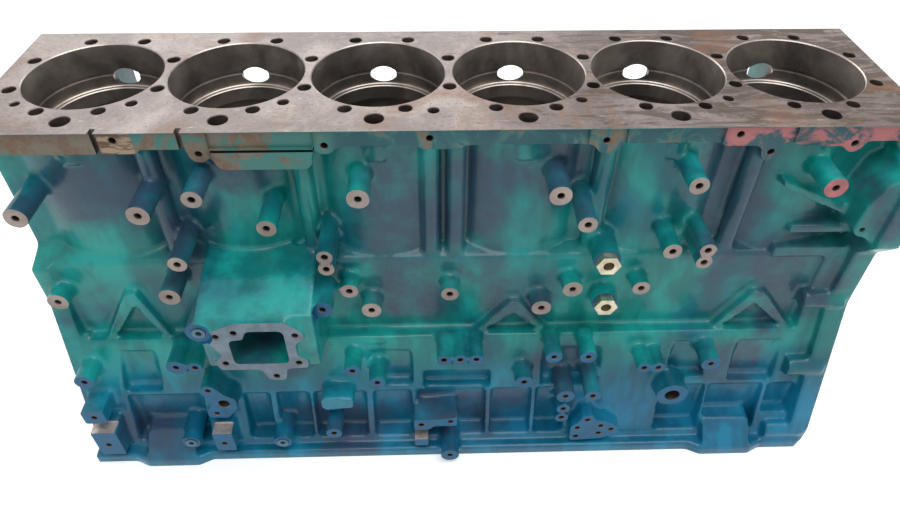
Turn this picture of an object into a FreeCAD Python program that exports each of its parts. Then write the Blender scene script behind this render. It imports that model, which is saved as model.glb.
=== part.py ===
"""Bare cylinder block of an in-line six diesel engine, with its bearing caps, bolts and plugs.

The frame: X runs along the crankshaft, from the front of the engine to its gear end. +Z is up, from
the pan rail at z = 0 to the head deck. The near side, with the port flange, faces -Y. The plane
y = 0 holds the six cylinder axes and the crankshaft. All sizes are in millimetres.
"""
import FreeCAD, Part
import math
import os
import Sketcher

SIZES = {
    # the block as a whole
    "deck_height": 508,
    "deck_length": 1034,
    "body_length": 1016,
    "cylinder_pitch": 165,
    "deck_near": 124,
    "deck_far": 109,
    "deck_thickness": 20,
    "jacket_floor_height": 330,
    "valley_near": 94,
    "valley_far": 96,
    "shoulder_height": 263,
    "skirt_top_half_width": 124,
    "skirt_foot_half_width": 182,
    "rail_half_width": 199,
    "rail_thickness": 16,
    "barrel_radius": 113,
    "barrel_top_gap": 6,
    # one cylinder, seen in section
    "bore_radius": 78,
    "bore_depth": 57,
    "groove_top": 37,
    "groove_width": 5,
    "groove_reach": 2,
    "seat_radius": 72,
    "seat_land": 18,
    "jacket_radius": 80,
    "lower_seat_radius": 70,
    "window_height": 464,
    "window_width": 30,
    "window_radius": 8.5,
    # the crankcase
    "crank_height": 108,
    "bearing_bore_radius": 57,
    "bulkhead_thickness": 34,
    "bay_top_height": 244,
    "bay_top_half_width": 104,
    "bay_middle_half_width": 131,
    "bay_foot_half_width": 142,
    "bay_middle_height": 112,
    "cap_half_width": 100,
    "cap_thickness": 30,
    "cap_foot_height": 22,
    "cap_belly": 8,
    "register_play": 0.1,
    "thread_play": 0.1,
    "cap_bolt_spread": 78,
    "cap_bolt_radius": 9,
    "cap_bolt_clearance": 1,
    "cap_bolt_depth": 62,
    "bolt_head_radius": 16,
    "bolt_head_height": 12,
    # holes in the deck
    "head_bolt_radius": 7.5,
    "head_bolt_depth": 74,
    "shared_bolt_reach": 34.7,
    "bolt_near_reach": 82.2,
    "bolt_far_reach": 84,
    "bolt_pair_spread": 33,
    "drain_radius": 10.5,
    "drain_reach": 102.8,
    "drain_boss_radius": 17,
    "drain_boss_depth": 46,
    # bosses on the near wall
    "upper_face": 164,
    "middle_face": 146,
    "lower_face": 180,
    "low_pad_face": 196,
    "filler_boss_radius": 22,
    "filler_hole_radius": 10.5,
    "filler_hole_depth": 60,
    "large_boss_radius": 13,
    "middle_boss_radius": 11.5,
    "small_boss_radius": 10,
    "boss_hole_radius": 3.6,
    "boss_hole_depth": 24,
    "union_radius": 15,
    "union_bore_radius": 6.5,
    "union_reach": 10,
    "union_spigot_depth": 12,
    "plug_radius": 8,
    "plug_depth": 8,
    "plug_proud": 1.5,
    "gallery_plug_radius": 12,
    "gallery_reach": 118,
    "gallery_height": 246,
    # port housing
    "port_face": 212,
    "port_middle": -230,
    "port_height": 264,
    "port_width": 96,
    "port_opening_width": 66,
    "port_opening_height": 58,
    "port_opening_depth": 110,
    "port_hole_radius": 3.6,
    "group_hole_radius": 7.5,
    "group_face": 186,
    "port_housing_length": 136,
    # the near wall's panels, rails and edge
    "upper_wall_floor": 120,
    "upper_panel_floor": 141,
    "lower_panel_floor": 154,
    "upper_rail_height": 196,
    "lower_rail_height": 104,
    "rib_proud": 12,
    "lug_radius": 11,
    "foot_reach": 208,
    # far side
    "cooler_face": 168,
    "cooler_length": 940,
    "cooler_top": 464,
    "cooler_bottom": 292,
    "cooler_rim": 26,
    "cooler_floor": 96,
    "cooler_hole_radius": 4.5,
    # ends
    "flange_thickness": 26,
    "ear_reach": 166,
    "end_hole_radius": 5.5,
    "end_hole_depth": 28,
}


class Size:
    """A length that carries its number and the sheet expression that it comes from."""

    def __init__(self, number, text):
        self.number = number
        self.text = text

    def combined(self, other, sign, result):
        other_text = other.text if isinstance(other, Size) else repr(other)
        return Size(result, "(" + self.text + " " + sign + " " + other_text + ")")

    def __add__(self, other):
        return self.combined(other, "+", self.number + plain(other))

    def __sub__(self, other):
        return self.combined(other, "-", self.number - plain(other))

    def __mul__(self, other):
        return self.combined(other, "*", self.number * plain(other))

    def __truediv__(self, other):
        return self.combined(other, "/", self.number / plain(other))

    def __radd__(self, other):
        return fixed(other) + self

    def __rsub__(self, other):
        return fixed(other) - self

    def __rmul__(self, other):
        return fixed(other) * self

    def __neg__(self):
        return self * -1


def plain(value):
    """The bare number of a Size, or of a number."""
    return value.number if isinstance(value, Size) else value


def fixed(value):
    """A plain number as a Size."""
    return value if isinstance(value, Size) else Size(value, repr(value))


doc = FreeCAD.newDocument("cylinder_block")
sheet = doc.addObject("Spreadsheet::Sheet", "Sizes")
for row, (alias, number) in enumerate(SIZES.items(), start=1):
    sheet.set("A%d" % row, alias)
    sheet.set("B%d" % row, str(number))
    sheet.setAlias("B%d" % row, alias)
doc.recompute()


def size(alias):
    """The named cell of the sheet."""
    return Size(float(sheet.get(alias)), "Sizes." + alias)


pitch = size("cylinder_pitch")
deck = size("deck_height")
body_end = size("body_length") / 2
deck_end = size("deck_length") / 2
crank = size("crank_height")
CYLINDERS = 6
BEARINGS = CYLINDERS + 1
ALONG_X = FreeCAD.Rotation(FreeCAD.Vector(0, 1, 0), 90)
AGAINST_X = FreeCAD.Rotation(FreeCAD.Vector(0, 1, 0), -90)
TOWARDS_NEAR = FreeCAD.Rotation(FreeCAD.Vector(1, 0, 0), 90)
TOWARDS_FAR = FreeCAD.Rotation(FreeCAD.Vector(1, 0, 0), -90)
UPWARDS = FreeCAD.Rotation()


def cylinder_axis(number):
    """X of a cylinder's axis; cylinder 1 is at the front end."""
    return (number - (CYLINDERS + 1) / 2) * pitch


def bearing_plane(number):
    """X of a main bearing's middle; bearing 1 is at the front end."""
    return (number - (BEARINGS + 1) / 2) * pitch


# ---------------------------------------------------------------- sketch and feature helpers

def new_body(name):
    return doc.addObject("PartDesign::Body", name)


def origin_feature(body, role):
    return [item for item in body.Origin.OriginFeatures if item.Role == role][0]


def bind(item, path, value):
    """Ties one property to the sheet."""
    item.setExpression(path, fixed(value).text)


def sketch_on(body, name, role, offset=(0, 0, 0)):
    """A sketch on one of the body's own origin planes, shifted by an offset in that plane's axes."""
    sketch = body.newObject("Sketcher::SketchObject", name)
    sketch.AttachmentSupport = [(origin_feature(body, role), "")]
    sketch.MapMode = "FlatFace"
    sketch.AttachmentOffset = FreeCAD.Placement(FreeCAD.Vector(*[plain(part) for part in offset]), UPWARDS)
    for axis, part in zip("xyz", offset):
        if isinstance(part, Size):
            bind(sketch, ".AttachmentOffset.Base." + axis, part)
    return sketch


def pinned(sketch, geometry, point, x, y):
    """The two constraints that fix a sketch point at x, y, each with the size that it follows."""
    return [(Sketcher.Constraint(kind, -1, 1, geometry, point, plain(value)), value)
            for kind, value in (("DistanceX", x), ("DistanceY", y))]


def constrain(sketch, constraints):
    """Adds constraints in one go and ties each one that has a size to the sheet."""
    first = sketch.ConstraintCount
    for place, (constraint, value) in enumerate(constraints):
        constraint.Name = "c%d" % (first + place)
    sketch.addConstraint([constraint for constraint, value in constraints])
    for constraint, value in constraints:
        if isinstance(value, Size):
            bind(sketch, "Constraints." + constraint.Name, value)


def outline(sketch, corners):
    """A closed outline of straight lines through the corners."""
    first = sketch.GeometryCount
    count = len(corners)
    spots = [FreeCAD.Vector(plain(x), plain(y), 0) for x, y in corners]
    sketch.addGeometry([Part.LineSegment(spots[place - 1], spots[place]) for place in range(count)])
    constraints = []
    for place, (x, y) in enumerate(corners):
        after = first + (place + 1) % count
        constraints.append((Sketcher.Constraint("Coincident", first + place, 2, after, 1), None))
        constraints += pinned(sketch, first + place, 2, x, y)
    constrain(sketch, constraints)


def rectangle(sketch, left, bottom, right, top):
    outline(sketch, [(left, bottom), (right, bottom), (right, top), (left, top)])


def circle(sketch, x, y, radius):
    centre = FreeCAD.Vector(plain(x), plain(y), 0)
    index = sketch.addGeometry(Part.Circle(centre, FreeCAD.Vector(0, 0, 1), plain(radius)))
    constraints = pinned(sketch, index, 3, x, y)
    constraints.append((Sketcher.Constraint("Radius", index, plain(radius)), radius))
    constrain(sketch, constraints)


def slot(sketch, x, y, half_length, radius):
    """A level slot with round ends; half_length runs from its middle to an end's outermost point."""
    reach = half_length - radius
    upright = FreeCAD.Vector(0, 0, 1)
    ends = [FreeCAD.Vector(plain(x + side * reach), plain(y), 0) for side in (1, -1)]
    right, left = [Part.Circle(centre, upright, plain(radius)) for centre in ends]
    corners = [(x - reach, y - radius), (x + reach, y - radius),
               (x + reach, y + radius), (x - reach, y + radius)]
    spots = [FreeCAD.Vector(plain(across), plain(up), 0) for across, up in corners]
    quarter = math.pi / 2
    first = sketch.GeometryCount
    sketch.addGeometry([
        Part.LineSegment(spots[0], spots[1]), Part.ArcOfCircle(right, -quarter, quarter),
        Part.LineSegment(spots[2], spots[3]), Part.ArcOfCircle(left, quarter, 3 * quarter)])
    constraints = []
    for place, (line, point) in enumerate(((0, 1), (0, 2), (2, 1), (2, 2))):
        constraints += pinned(sketch, first + line, point, *corners[place])
    for line, point, arc, arc_point in ((0, 2, 1, 1), (2, 1, 1, 2), (2, 2, 3, 1), (0, 1, 3, 2)):
        meeting = Sketcher.Constraint("Coincident", first + line, point, first + arc, arc_point)
        constraints.append((meeting, None))
    for arc, centre_x in ((1, x + reach), (3, x - reach)):
        constraints.append(pinned(sketch, first + arc, 3, centre_x, y)[0])
    constrain(sketch, constraints)


def feature(body, kind, sketch, name, depth, both_ways=False, backwards=False):
    """A pad or a pocket of the sketch."""
    item = body.newObject("PartDesign::" + kind, name)
    item.Profile = sketch
    item.Length = plain(depth)
    bind(item, "Length", depth)
    item.Midplane = both_ways
    item.Reversed = backwards
    item.Refine = False
    return item


def repeat(body, original, name, count):
    """Copies a feature along X, one cylinder pitch apart."""
    pattern = body.newObject("PartDesign::LinearPattern", name)
    pattern.Originals = [original]
    pattern.Direction = (origin_feature(body, "X_Axis"), [""])
    pattern.Occurrences = count
    bind(pattern, "Length", (count - 1) * pitch)
    pattern.Refine = False
    body.Tip = pattern
    return pattern


# ---------------------------------------------------------------- primitive helpers

def placed(item, x, y, z, rotation=UPWARDS):
    """Puts a primitive at a place that follows the sheet."""
    item.Placement = FreeCAD.Placement(FreeCAD.Vector(plain(x), plain(y), plain(z)), rotation)
    for axis, value in zip("xyz", (x, y, z)):
        bind(item, ".Placement.Base." + axis, value)
    return item


def rod(name, x, y, z, radius, reach, rotation=TOWARDS_NEAR):
    item = doc.addObject("Part::Cylinder", name)
    bind(item, "Radius", radius)
    bind(item, "Height", reach)
    return placed(item, x, y, z, rotation)


def fused(name, items):
    item = doc.addObject("Part::MultiFuse", name)
    item.Shapes = items
    item.Refine = False
    return item


def cut(name, base, tool):
    item = doc.addObject("Part::Cut", name)
    item.Base = base
    item.Tool = tool
    item.Refine = False
    return item


# ---------------------------------------------------------------- the casting's main form

def main_form(body):
    """The deck, the valley walls, the skirt and the pan rail as one section along X."""
    section = sketch_on(body, "block_section", "YZ_Plane")
    under_deck = deck - size("deck_thickness")
    floor = size("jacket_floor_height")
    shoulder = size("shoulder_height")
    top = size("skirt_top_half_width")
    foot = size("skirt_foot_half_width")
    rail = size("rail_half_width")
    thick = size("rail_thickness")
    outline(section, [
        (-size("deck_near"), deck), (-size("deck_near"), under_deck),
        (-size("valley_near"), under_deck - 10), (-size("valley_near"), floor),
        (-top, floor - 12), (-top, shoulder), (-foot, thick), (-rail, thick), (-rail, 0),
        (rail, 0), (rail, thick), (foot, thick), (top, shoulder), (top, floor - 12),
        (size("valley_far"), floor), (size("valley_far"), under_deck - 10),
        (size("deck_far"), under_deck), (size("deck_far"), deck)])
    feature(body, "Pad", section, "block_pad", 2 * body_end, both_ways=True)
    slab = sketch_on(body, "deck_section", "YZ_Plane")
    rectangle(slab, -size("deck_near"), under_deck, size("deck_far"), deck)
    feature(body, "Pad", slab, "deck_pad", 2 * deck_end, both_ways=True)


def barrels(body):
    """The round wall of each cylinder, standing out between the valleys."""
    base = size("jacket_floor_height") - 30
    round_wall = sketch_on(body, "barrel_circle", "XY_Plane", (cylinder_axis(1), 0, base))
    circle(round_wall, 0, 0, size("barrel_radius"))
    wall = feature(body, "Pad", round_wall, "barrel_wall", deck - size("barrel_top_gap") - base)
    repeat(body, wall, "barrel_walls", CYLINDERS)
    trim = sketch_on(body, "barrel_trim", "XY_Plane", (0, 0, deck - size("deck_thickness")))
    overhang = size("barrel_radius")
    rectangle(trim, -deck_end - overhang, size("deck_far"), deck_end + overhang, size("deck_far") + overhang)
    rectangle(trim, -body_end - overhang, -overhang - 9, -body_end, size("deck_far") - 1)
    rectangle(trim, body_end, -overhang - 9, body_end + overhang, size("deck_far") - 1)
    feature(body, "Pocket", trim, "barrel_trim_cut", deck - size("deck_thickness") - base + 1)
    ends = sketch_on(body, "deck_end_trim", "XY_Plane", (0, 0, deck))
    rectangle(ends, -deck_end - overhang, -overhang, -deck_end, overhang)
    rectangle(ends, deck_end, -overhang, deck_end + overhang, overhang)
    feature(body, "Pocket", ends, "deck_end_trim_cut", size("deck_thickness") + 1)
    boss = sketch_on(body, "drain_boss_circle", "XY_Plane",
                     (cylinder_axis(1), -size("drain_reach"), deck - size("drain_boss_depth")))
    circle(boss, 0, 0, size("drain_boss_radius"))
    wall = feature(body, "Pad", boss, "drain_boss", size("drain_boss_depth") - 4)
    repeat(body, wall, "drain_bosses", CYLINDERS)


def near_sketch(body, name, reach):
    """A sketch that faces the near side, at a distance from the cylinder plane."""
    return sketch_on(body, name, "XZ_Plane", (0, 0, reach))


def near_recess(body, sketch, name):
    """A recess open to the near side, with its floor on the sketch's plane."""
    return feature(body, "Pocket", sketch, name, size("rail_half_width"), backwards=True)


def wall_panels(body):
    """The set-back upper wall and the two rows of panels between rails and upright ribs."""
    rail = size("upper_rail_height")
    lower = size("lower_rail_height")
    floor = size("jacket_floor_height")
    one, two, three, four, five, six = [cylinder_axis(number) for number in range(1, 7)]
    upper = near_sketch(body, "upper_wall_outline", size("upper_wall_floor"))
    rectangle(upper, one - 74, rail, six + 56, floor - 6)
    near_recess(body, upper, "upper_wall")
    top = rail - 14
    foot = lower + 6
    row = near_sketch(body, "upper_panel_outlines", size("upper_panel_floor"))
    outline(row, [(one - 38, foot), (one + 14, foot), (one + 19, top), (one - 28, top)])
    rectangle(row, three - 29, foot + 4, three + 30, top - 8)
    rectangle(row, three + 46, foot - 4, three + 138, foot + 26)
    rectangle(row, four + 44, foot, four + 124, top - 8)
    outline(row, [(five + 54, foot + 8), (five + 108, foot + 8), (five + 94, top), (five + 56, top)])
    rectangle(row, six - 22, foot, six + 42, top)
    near_recess(body, row, "upper_panels")
    base = size("rail_thickness") + 6
    row = near_sketch(body, "lower_panel_outlines", size("lower_panel_floor"))
    for left, right in ((one - 36, one + 68), (one + 124, one + 160), (two + 4, two + 50),
                        (two + 56, two + 128), (three - 26, three + 28), (three + 36, three + 132),
                        (four - 26, four + 32), (four + 38, four + 80), (five + 50, five + 114),
                        (six - 46, six + 32)):
        rectangle(row, left, base, right, lower)
    rectangle(row, six + 40, base + 30, six + 90, lower)
    near_recess(body, row, "lower_panels")
    row = sketch_on(body, "far_panel_outlines", "XZ_Plane", (0, 0, -size("lower_panel_floor")))
    for number in range(1, CYLINDERS + 1):
        middle = cylinder_axis(number)
        rectangle(row, middle - 70, base, middle + 70, lower)
        rectangle(row, middle - 70, foot + 12, middle + 70, rail + 30)
    feature(body, "Pocket", row, "far_panels", size("rail_half_width"))


def crankcase(body):
    """The open bays between the bulkheads, and the seats of the main bearings."""
    bay = sketch_on(body, "bay_section", "YZ_Plane", (0, 0, cylinder_axis(1)))
    middle = size("bay_middle_height")
    foot = size("bay_foot_half_width")
    half = size("bay_middle_half_width")
    crown = size("bay_top_half_width")
    crown_height = size("bay_top_height")
    outline(bay, [
        (-foot, -1), (foot, -1), (foot, 30), (half, middle), (crown, crown_height - 34),
        (crown - 30, crown_height), (30 - crown, crown_height), (-crown, crown_height - 34),
        (-half, middle), (-foot, 30)])
    gap = feature(body, "Pocket", bay, "bay", pitch - size("bulkhead_thickness"), both_ways=True)
    repeat(body, gap, "bays", CYLINDERS)
    seat = sketch_on(body, "cap_register", "YZ_Plane")
    rectangle(seat, -size("cap_half_width"), -1, size("cap_half_width"), crank)
    feature(body, "Pocket", seat, "cap_register_cut", 2 * deck_end, both_ways=True)
    tunnel = sketch_on(body, "crank_tunnel", "YZ_Plane")
    circle(tunnel, 0, crank, size("bearing_bore_radius"))
    feature(body, "Pocket", tunnel, "crank_tunnel_cut", 2 * deck_end, both_ways=True)
    bolts = sketch_on(body, "cap_bolt_circles", "XY_Plane", (bearing_plane(1), 0, crank))
    for side in (-1, 1):
        circle(bolts, 0, side * size("cap_bolt_spread"), size("cap_bolt_radius"))
    holes = feature(body, "Pocket", bolts, "cap_bolt_holes", size("cap_bolt_depth"), backwards=True)
    repeat(body, holes, "cap_bolt_rows", BEARINGS)


def bores(body):
    """Each liner's housing: top bore, seal groove, ledge, water jacket and lower seat."""
    section = sketch_on(body, "bore_section", "XZ_Plane", (cylinder_axis(1), 0, 0))
    bore = size("bore_radius")
    ledge = deck - size("bore_depth")
    groove = deck - size("groove_top")
    land = ledge - size("seat_land")
    seat = size("seat_radius")
    jacket = size("jacket_radius")
    floor = size("jacket_floor_height")
    lower = size("lower_seat_radius")
    bottom = size("bay_top_height") - 40
    recess = bore + size("groove_reach")
    outline(section, [
        (0, deck + 1), (bore, deck + 1), (bore, groove), (recess, groove),
        (recess, groove - size("groove_width")), (bore, groove - size("groove_width")), (bore, ledge),
        (seat, ledge), (seat, land), (jacket, land), (jacket, floor), (lower, floor),
        (lower, bottom), (0, bottom)])
    hollow = body.newObject("PartDesign::Groove", "bore")
    hollow.Profile = section
    hollow.ReferenceAxis = (section, ["V_Axis"])
    hollow.Angle = 360
    hollow.Refine = False
    repeat(body, hollow, "bores", CYLINDERS)
    window = sketch_on(body, "window_outline", "XZ_Plane", (cylinder_axis(1), 0, seat - bore))
    slot(window, 0, size("window_height"), size("window_width") / 2, size("window_radius"))
    hole = feature(body, "Pocket", window, "window", size("deck_far"))
    repeat(body, hole, "windows", CYLINDERS)


def deck_holes(body):
    """The head bolt holes, shared between neighbours and in pairs, and the large drain holes."""
    shared = sketch_on(body, "shared_bolt_circles", "XY_Plane", (bearing_plane(1), 0, deck))
    for side in (-1, 1):
        circle(shared, 0, side * size("shared_bolt_reach"), size("head_bolt_radius"))
    holes = feature(body, "Pocket", shared, "shared_bolt_holes", size("head_bolt_depth"))
    repeat(body, holes, "shared_bolt_rows", BEARINGS)
    pairs = sketch_on(body, "bolt_pair_circles", "XY_Plane", (cylinder_axis(1), 0, deck))
    spread = size("bolt_pair_spread")
    for x in (-spread, spread):
        circle(pairs, x, -size("bolt_near_reach"), size("head_bolt_radius"))
        circle(pairs, x, size("bolt_far_reach"), size("head_bolt_radius"))
    holes = feature(body, "Pocket", pairs, "bolt_pair_holes", size("head_bolt_depth"))
    repeat(body, holes, "bolt_pair_rows", CYLINDERS)
    drain = sketch_on(body, "drain_circle", "XY_Plane", (cylinder_axis(1), -size("drain_reach"), deck))
    circle(drain, 0, 0, size("drain_radius"))
    hole = feature(body, "Pocket", drain, "drain_hole", size("drain_boss_depth") - 12)
    repeat(body, hole, "drain_holes", CYLINDERS)


def make_core_casting():
    body = new_body("casting")
    main_form(body)
    barrels(body)
    wall_panels(body)
    crankcase(body)
    bores(body)
    deck_holes(body)
    return body


# ---------------------------------------------------------------- forms on the near wall

def raised(body, name, reach, root, outlines, circles=()):
    """Forms on the near wall, from a root plane inside it out to their faces."""
    sketch = near_sketch(body, name + "_outline", reach)
    for corners in outlines:
        outline(sketch, corners)
    for x, z, radius in circles:
        circle(sketch, x, z, radius)
    return feature(body, "Pad", sketch, name, reach - root, backwards=True)


def box_corners(left, bottom, right, top):
    return [(left, bottom), (right, bottom), (right, top), (left, top)]


def forked_ribs(body):
    """The three forked ribs that carry the load of the main bearings up into the wall."""
    foot = size("upper_rail_height") - 2
    forks = []
    for apex, peak, left, right in ((cylinder_axis(1) + 10, 276, 48, 27),
                                    (cylinder_axis(4) + 1, 250, 46, 42),
                                    (cylinder_axis(6) - 12, 262, 40, 56)):
        forks.append([
            (apex - left - 6, foot), (apex - 7, peak), (apex + 7, peak), (apex + right + 6, foot),
            (apex + right - 6, foot), (apex, peak - 22), (apex - left + 6, foot)])
    wall = size("upper_wall_floor")
    raised(body, "forked_ribs", wall + size("rib_proud"), wall - 6, forks)


def deck_edge(body):
    """The deeper stretches of the deck's near edge, the lugs that hang from it and the blank pad."""
    near = size("deck_near")
    root = size("valley_near") - 4
    base = deck - size("deck_thickness") + 2
    one, two, three, four, five, six = [cylinder_axis(number) for number in range(1, 7)]
    raised(body, "deck_lips", near, root, [
        box_corners(-deck_end, deck - 28, one + 80, base),
        box_corners(one + 86, deck - 23, two + 128, base),
        [(four - 114, deck - 26), (four - 74, deck - 26), (four - 68, deck - 20),
         (four - 68, base), (four - 120, base), (four - 120, deck - 20)],
        [(four + 78, deck - 33), (four + 94, deck - 33), (four + 102, base), (four + 66, base)],
        [(six - 119, deck - 26), (six - 80, deck - 26), (six - 60, deck - 40),
         (six - 52, base), (six - 119, base)],
        [(six - 38, deck - 26), (six + 12, deck - 27), (six + 38, base), (six - 42, base)]])
    lugs = [(x, deck - below, size("lug_radius")) for x, below in deck_lugs()]
    raised(body, "deck_lugs", near + 1, root, [], lugs)
    raised(body, "plate_pad", near + 4, root, [
        [(two - 6, deck - 24), (two - 6, deck - 40), (two, deck - 47), (two + 92, deck - 47),
         (two + 98, deck - 40), (two + 98, deck - 24)]])


def deck_lugs():
    """X and depth below the deck of each lug with a hole on the deck's near edge."""
    return ((cylinder_axis(2) - 22, 29), (cylinder_axis(2) + 112, 20), (cylinder_axis(6) - 64, 34),
            (cylinder_axis(6) + 25, 24))


def port_housing(body):
    """The square port's housing with its sloping roof, and its flange with lugs."""
    middle = size("port_middle")
    face = size("port_face")
    height = size("port_height")
    root = size("bay_top_half_width")
    side = sketch_on(body, "port_side", "YZ_Plane", (0, 0, middle))
    floor = size("jacket_floor_height")
    outline(side, [
        (-root, floor + 4), (-root - 46, floor - 3), (10 - face, height + 45), (10 - face, height - 42),
        (-root - 46, height - 58), (-root, height - 58)])
    feature(body, "Pad", side, "port_walls", size("port_housing_length"), both_ways=True)
    half = size("port_width") / 2
    raised(body, "port_flange", face, root + 60, [[
        (middle - half - 10, height + 14), (middle - half - 10, height + 26), (middle - 20, height + 44),
        (middle + 36, height + 44), (middle + half + 8, height + 26), (middle + half + 8, height + 14),
        (middle + half - 4, height + 6), (middle + half - 4, height - 16), (middle + half + 8, height - 24),
        (middle + half + 6, height - 38), (middle + half - 20, height - 40),
        (middle + 24, height - 62), (middle + 4, height - 62), (middle - 4, height - 40),
        (middle - half - 4, height - 40), (middle - half - 8, height - 24),
        (middle - half + 4, height - 14)]])
    raised(body, "port_corner", face - 6, root, [], [(middle - 66, height + 22, 16)])


def rail_feet(body):
    """The two sloping feet of the near pan rail."""
    rail = size("rail_half_width")
    reach = size("foot_reach")
    root = size("bay_foot_half_width") + 4
    thick = size("rail_thickness")
    for number, middle in ((1, cylinder_axis(1) + 14), (6, cylinder_axis(6) - 12)):
        plan = sketch_on(body, "foot_plan_%d" % number, "XY_Plane")
        outline(plan, [
            (middle - 62, 4 - rail), (middle - 36, -reach), (middle + 36, -reach), (middle + 62, 4 - rail)])
        feature(body, "Pad", plan, "foot_%d" % number, thick)
        slope = sketch_on(body, "foot_slope_%d" % number, "YZ_Plane", (0, 0, middle))
        outline(slope, [(-root, 1), (-reach, 1), (-reach, thick), (20 - rail, 46), (-root, 50)])
        feature(body, "Pad", slope, "foot_wedge_%d" % number, 68, both_ways=True)


def bracket_pads(body):
    """The machined pads near the pan rail, some with a ledge, where brackets are bolted on."""
    reach = size("low_pad_face")
    root = size("lower_panel_floor") - 6
    one, two, three, four, five, six = [cylinder_axis(number) for number in range(1, 7)]
    raised(body, "upper_pads", reach, root, [
        box_corners(one - 84, 92, one - 54, 118),
        [(four - 134, 60), (four - 112, 60), (four - 108, 68), (four - 74, 68), (four - 74, 88),
         (four - 108, 84), (four - 134, 84)]])
    raised(body, "lower_pads", reach + 6, root, [
        box_corners(one - 82, 24, one - 48, 80), box_corners(two - 84, 28, two - 56, 72),
        box_corners(four - 134, 30, four - 114, 48)])
    raised(body, "group_plate", size("group_face"), size("upper_panel_floor") - 2, [
        [(two - 85, 86), (two - 60, 84), (two - 44, 106), (two - 42, 126), (two - 56, 136),
         (two - 66, 153), (two - 75, 158), (two - 85, 152), (two - 86, 140), (two - 78, 126),
         (two - 80, 110), (two - 87, 100)]])
    raised(body, "blank_pad", size("lower_face") + 4, root, [
        [(three - 94, 104), (three - 88, 98), (three - 50, 104), (three - 50, 124),
         (three - 88, 128), (three - 94, 122)]])
    raised(body, "cluster_pad", reach - 2, root, [
        [(five - 76, 22), (five - 28, 26), (five - 6, 42), (five - 10, 56), (five - 26, 68), (five - 44, 72),
         (five - 48, 82), (five - 62, 82), (five - 68, 66), (five - 77, 58)]])


def make_near_forms():
    body = new_body("near_forms")
    forked_ribs(body)
    deck_edge(body)
    port_housing(body)
    rail_feet(body)
    bracket_pads(body)
    return body


# ---------------------------------------------------------------- far side and gear end

def make_far_forms():
    """The walls round the cooler chamber, and the flange at the gear end with its near-side ear."""
    body = new_body("far_forms")
    face = size("cooler_face")
    top = size("cooler_top")
    bottom = size("cooler_bottom")
    root = size("cooler_floor") - 3
    walls = sketch_on(body, "cooler_section", "YZ_Plane")
    under_deck = deck - size("deck_thickness")
    outline(walls, [(root, under_deck), (size("deck_far"), under_deck), (face, top), (face, bottom),
                    (root, bottom)])
    feature(body, "Pad", walls, "cooler_walls", size("cooler_length"), both_ways=True)
    return body


def make_gear_end():
    body = new_body("gear_end_forms")
    thick = size("flange_thickness")
    near = size("ear_reach")
    far = size("foot_reach") + 5
    rail = size("rail_half_width")
    plate = sketch_on(body, "gear_flange_outline", "YZ_Plane", (0, 0, deck_end - thick))
    outline(plate, [
        (-size("deck_near") + 24, 470), (-size("deck_near"), 470), (-near, 450), (-near, 366),
        (-size("deck_near") - 16, 336), (-size("deck_near") - 16, 250), (4 - rail, 40), (4 - rail, 6),
        (-size("bay_foot_half_width"), 6), (-size("bay_foot_half_width"), 60),
        (-size("bay_top_half_width"), 300)])
    outline(plate, [
        (size("deck_far") - 24, 470), (size("deck_far"), 480), (far, 380), (far, 60), (rail, 6),
        (size("bay_foot_half_width"), 6), (size("bay_foot_half_width"), 60),
        (size("bay_top_half_width"), 300)])
    feature(body, "Pad", plate, "gear_flange", thick)
    inner = deck_end - thick
    six = cylinder_axis(CYLINDERS)
    root = size("valley_near") - 2
    raised(body, "ear", near - 16, root, [
        [(inner + 2, 458), (inner - 14, 446), (inner - 27, 418), (inner - 29, 384), (inner - 22, 374),
         (inner - 10, 372), (inner + 2, 360)]])
    raised(body, "ear_ribs", size("upper_wall_floor") + 6, root, [
        [(six - 36, 436), (six - 36, 427), (six + 42, 389), (inner - 20, 386), (inner - 20, 398),
         (six + 44, 402)],
        box_corners(six - 6, 357, inner + 2, 369),
        box_corners(six - 14, 318, inner + 2, 334)])
    return body


def ear_hole():
    """X and height of the small hole in the ear."""
    return deck_end - 44, 385


def end_holes():
    """How far out, and how high, the bolt holes stand that the housings at both ends need."""
    foot = size("skirt_foot_half_width")
    top = size("skirt_top_half_width")
    return ((foot - 18, 36), (foot - 34, 118), (top + 4, 196), (top - 16, 296))


def make_end_drills():
    """The bolt holes in the two end faces, on both sides of the crankshaft."""
    drills = []
    depth = size("end_hole_depth")
    for place, (out, height) in enumerate(end_holes(), start=1):
        for side in (-1, 1):
            for end, face, rotation in ((1, -body_end, AGAINST_X), (2, deck_end, ALONG_X)):
                start = moved((face, side * out, height), rotation, -1 * depth)
                drills.append(rod("end_drill_%d_%d_%d" % (end, place, side + 2), *start,
                                  size("end_hole_radius"), depth + 12, rotation))
    return drills


def make_chamber():
    """The hollow that a sand core leaves for the cooler, open to the far side."""
    body = new_body("cooler_chamber")
    face = size("cooler_face")
    rim = size("cooler_rim")
    floor = size("cooler_floor")
    under_deck = deck - size("deck_thickness")
    section = sketch_on(body, "chamber_section", "YZ_Plane")
    outline(section, [
        (floor, under_deck - 8), (floor + 12, under_deck - 8), (face + 1, size("cooler_top") - 16),
        (face + 1, size("cooler_bottom") + rim), (floor, size("cooler_bottom") + rim)])
    feature(body, "Pad", section, "chamber", size("cooler_length") - 2 * rim, both_ways=True)
    mouth = near_sketch(body, "port_mouth", size("port_face") + 1)
    middle = size("port_middle")
    height = size("port_height")
    rise = size("port_opening_height") / 2
    left = middle - size("port_opening_width") / 2
    right = middle + size("port_opening_width") / 2
    outline(mouth, [
        (left, height - rise), (right, height - rise), (right, height + rise),
        (left + 22, height + rise), (left + 18, height + rise - 14), (left, height + rise - 16)])
    feature(body, "Pad", mouth, "port_opening", size("port_opening_depth"), backwards=True)
    return body


# ---------------------------------------------------------------- bosses and drilled holes

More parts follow.
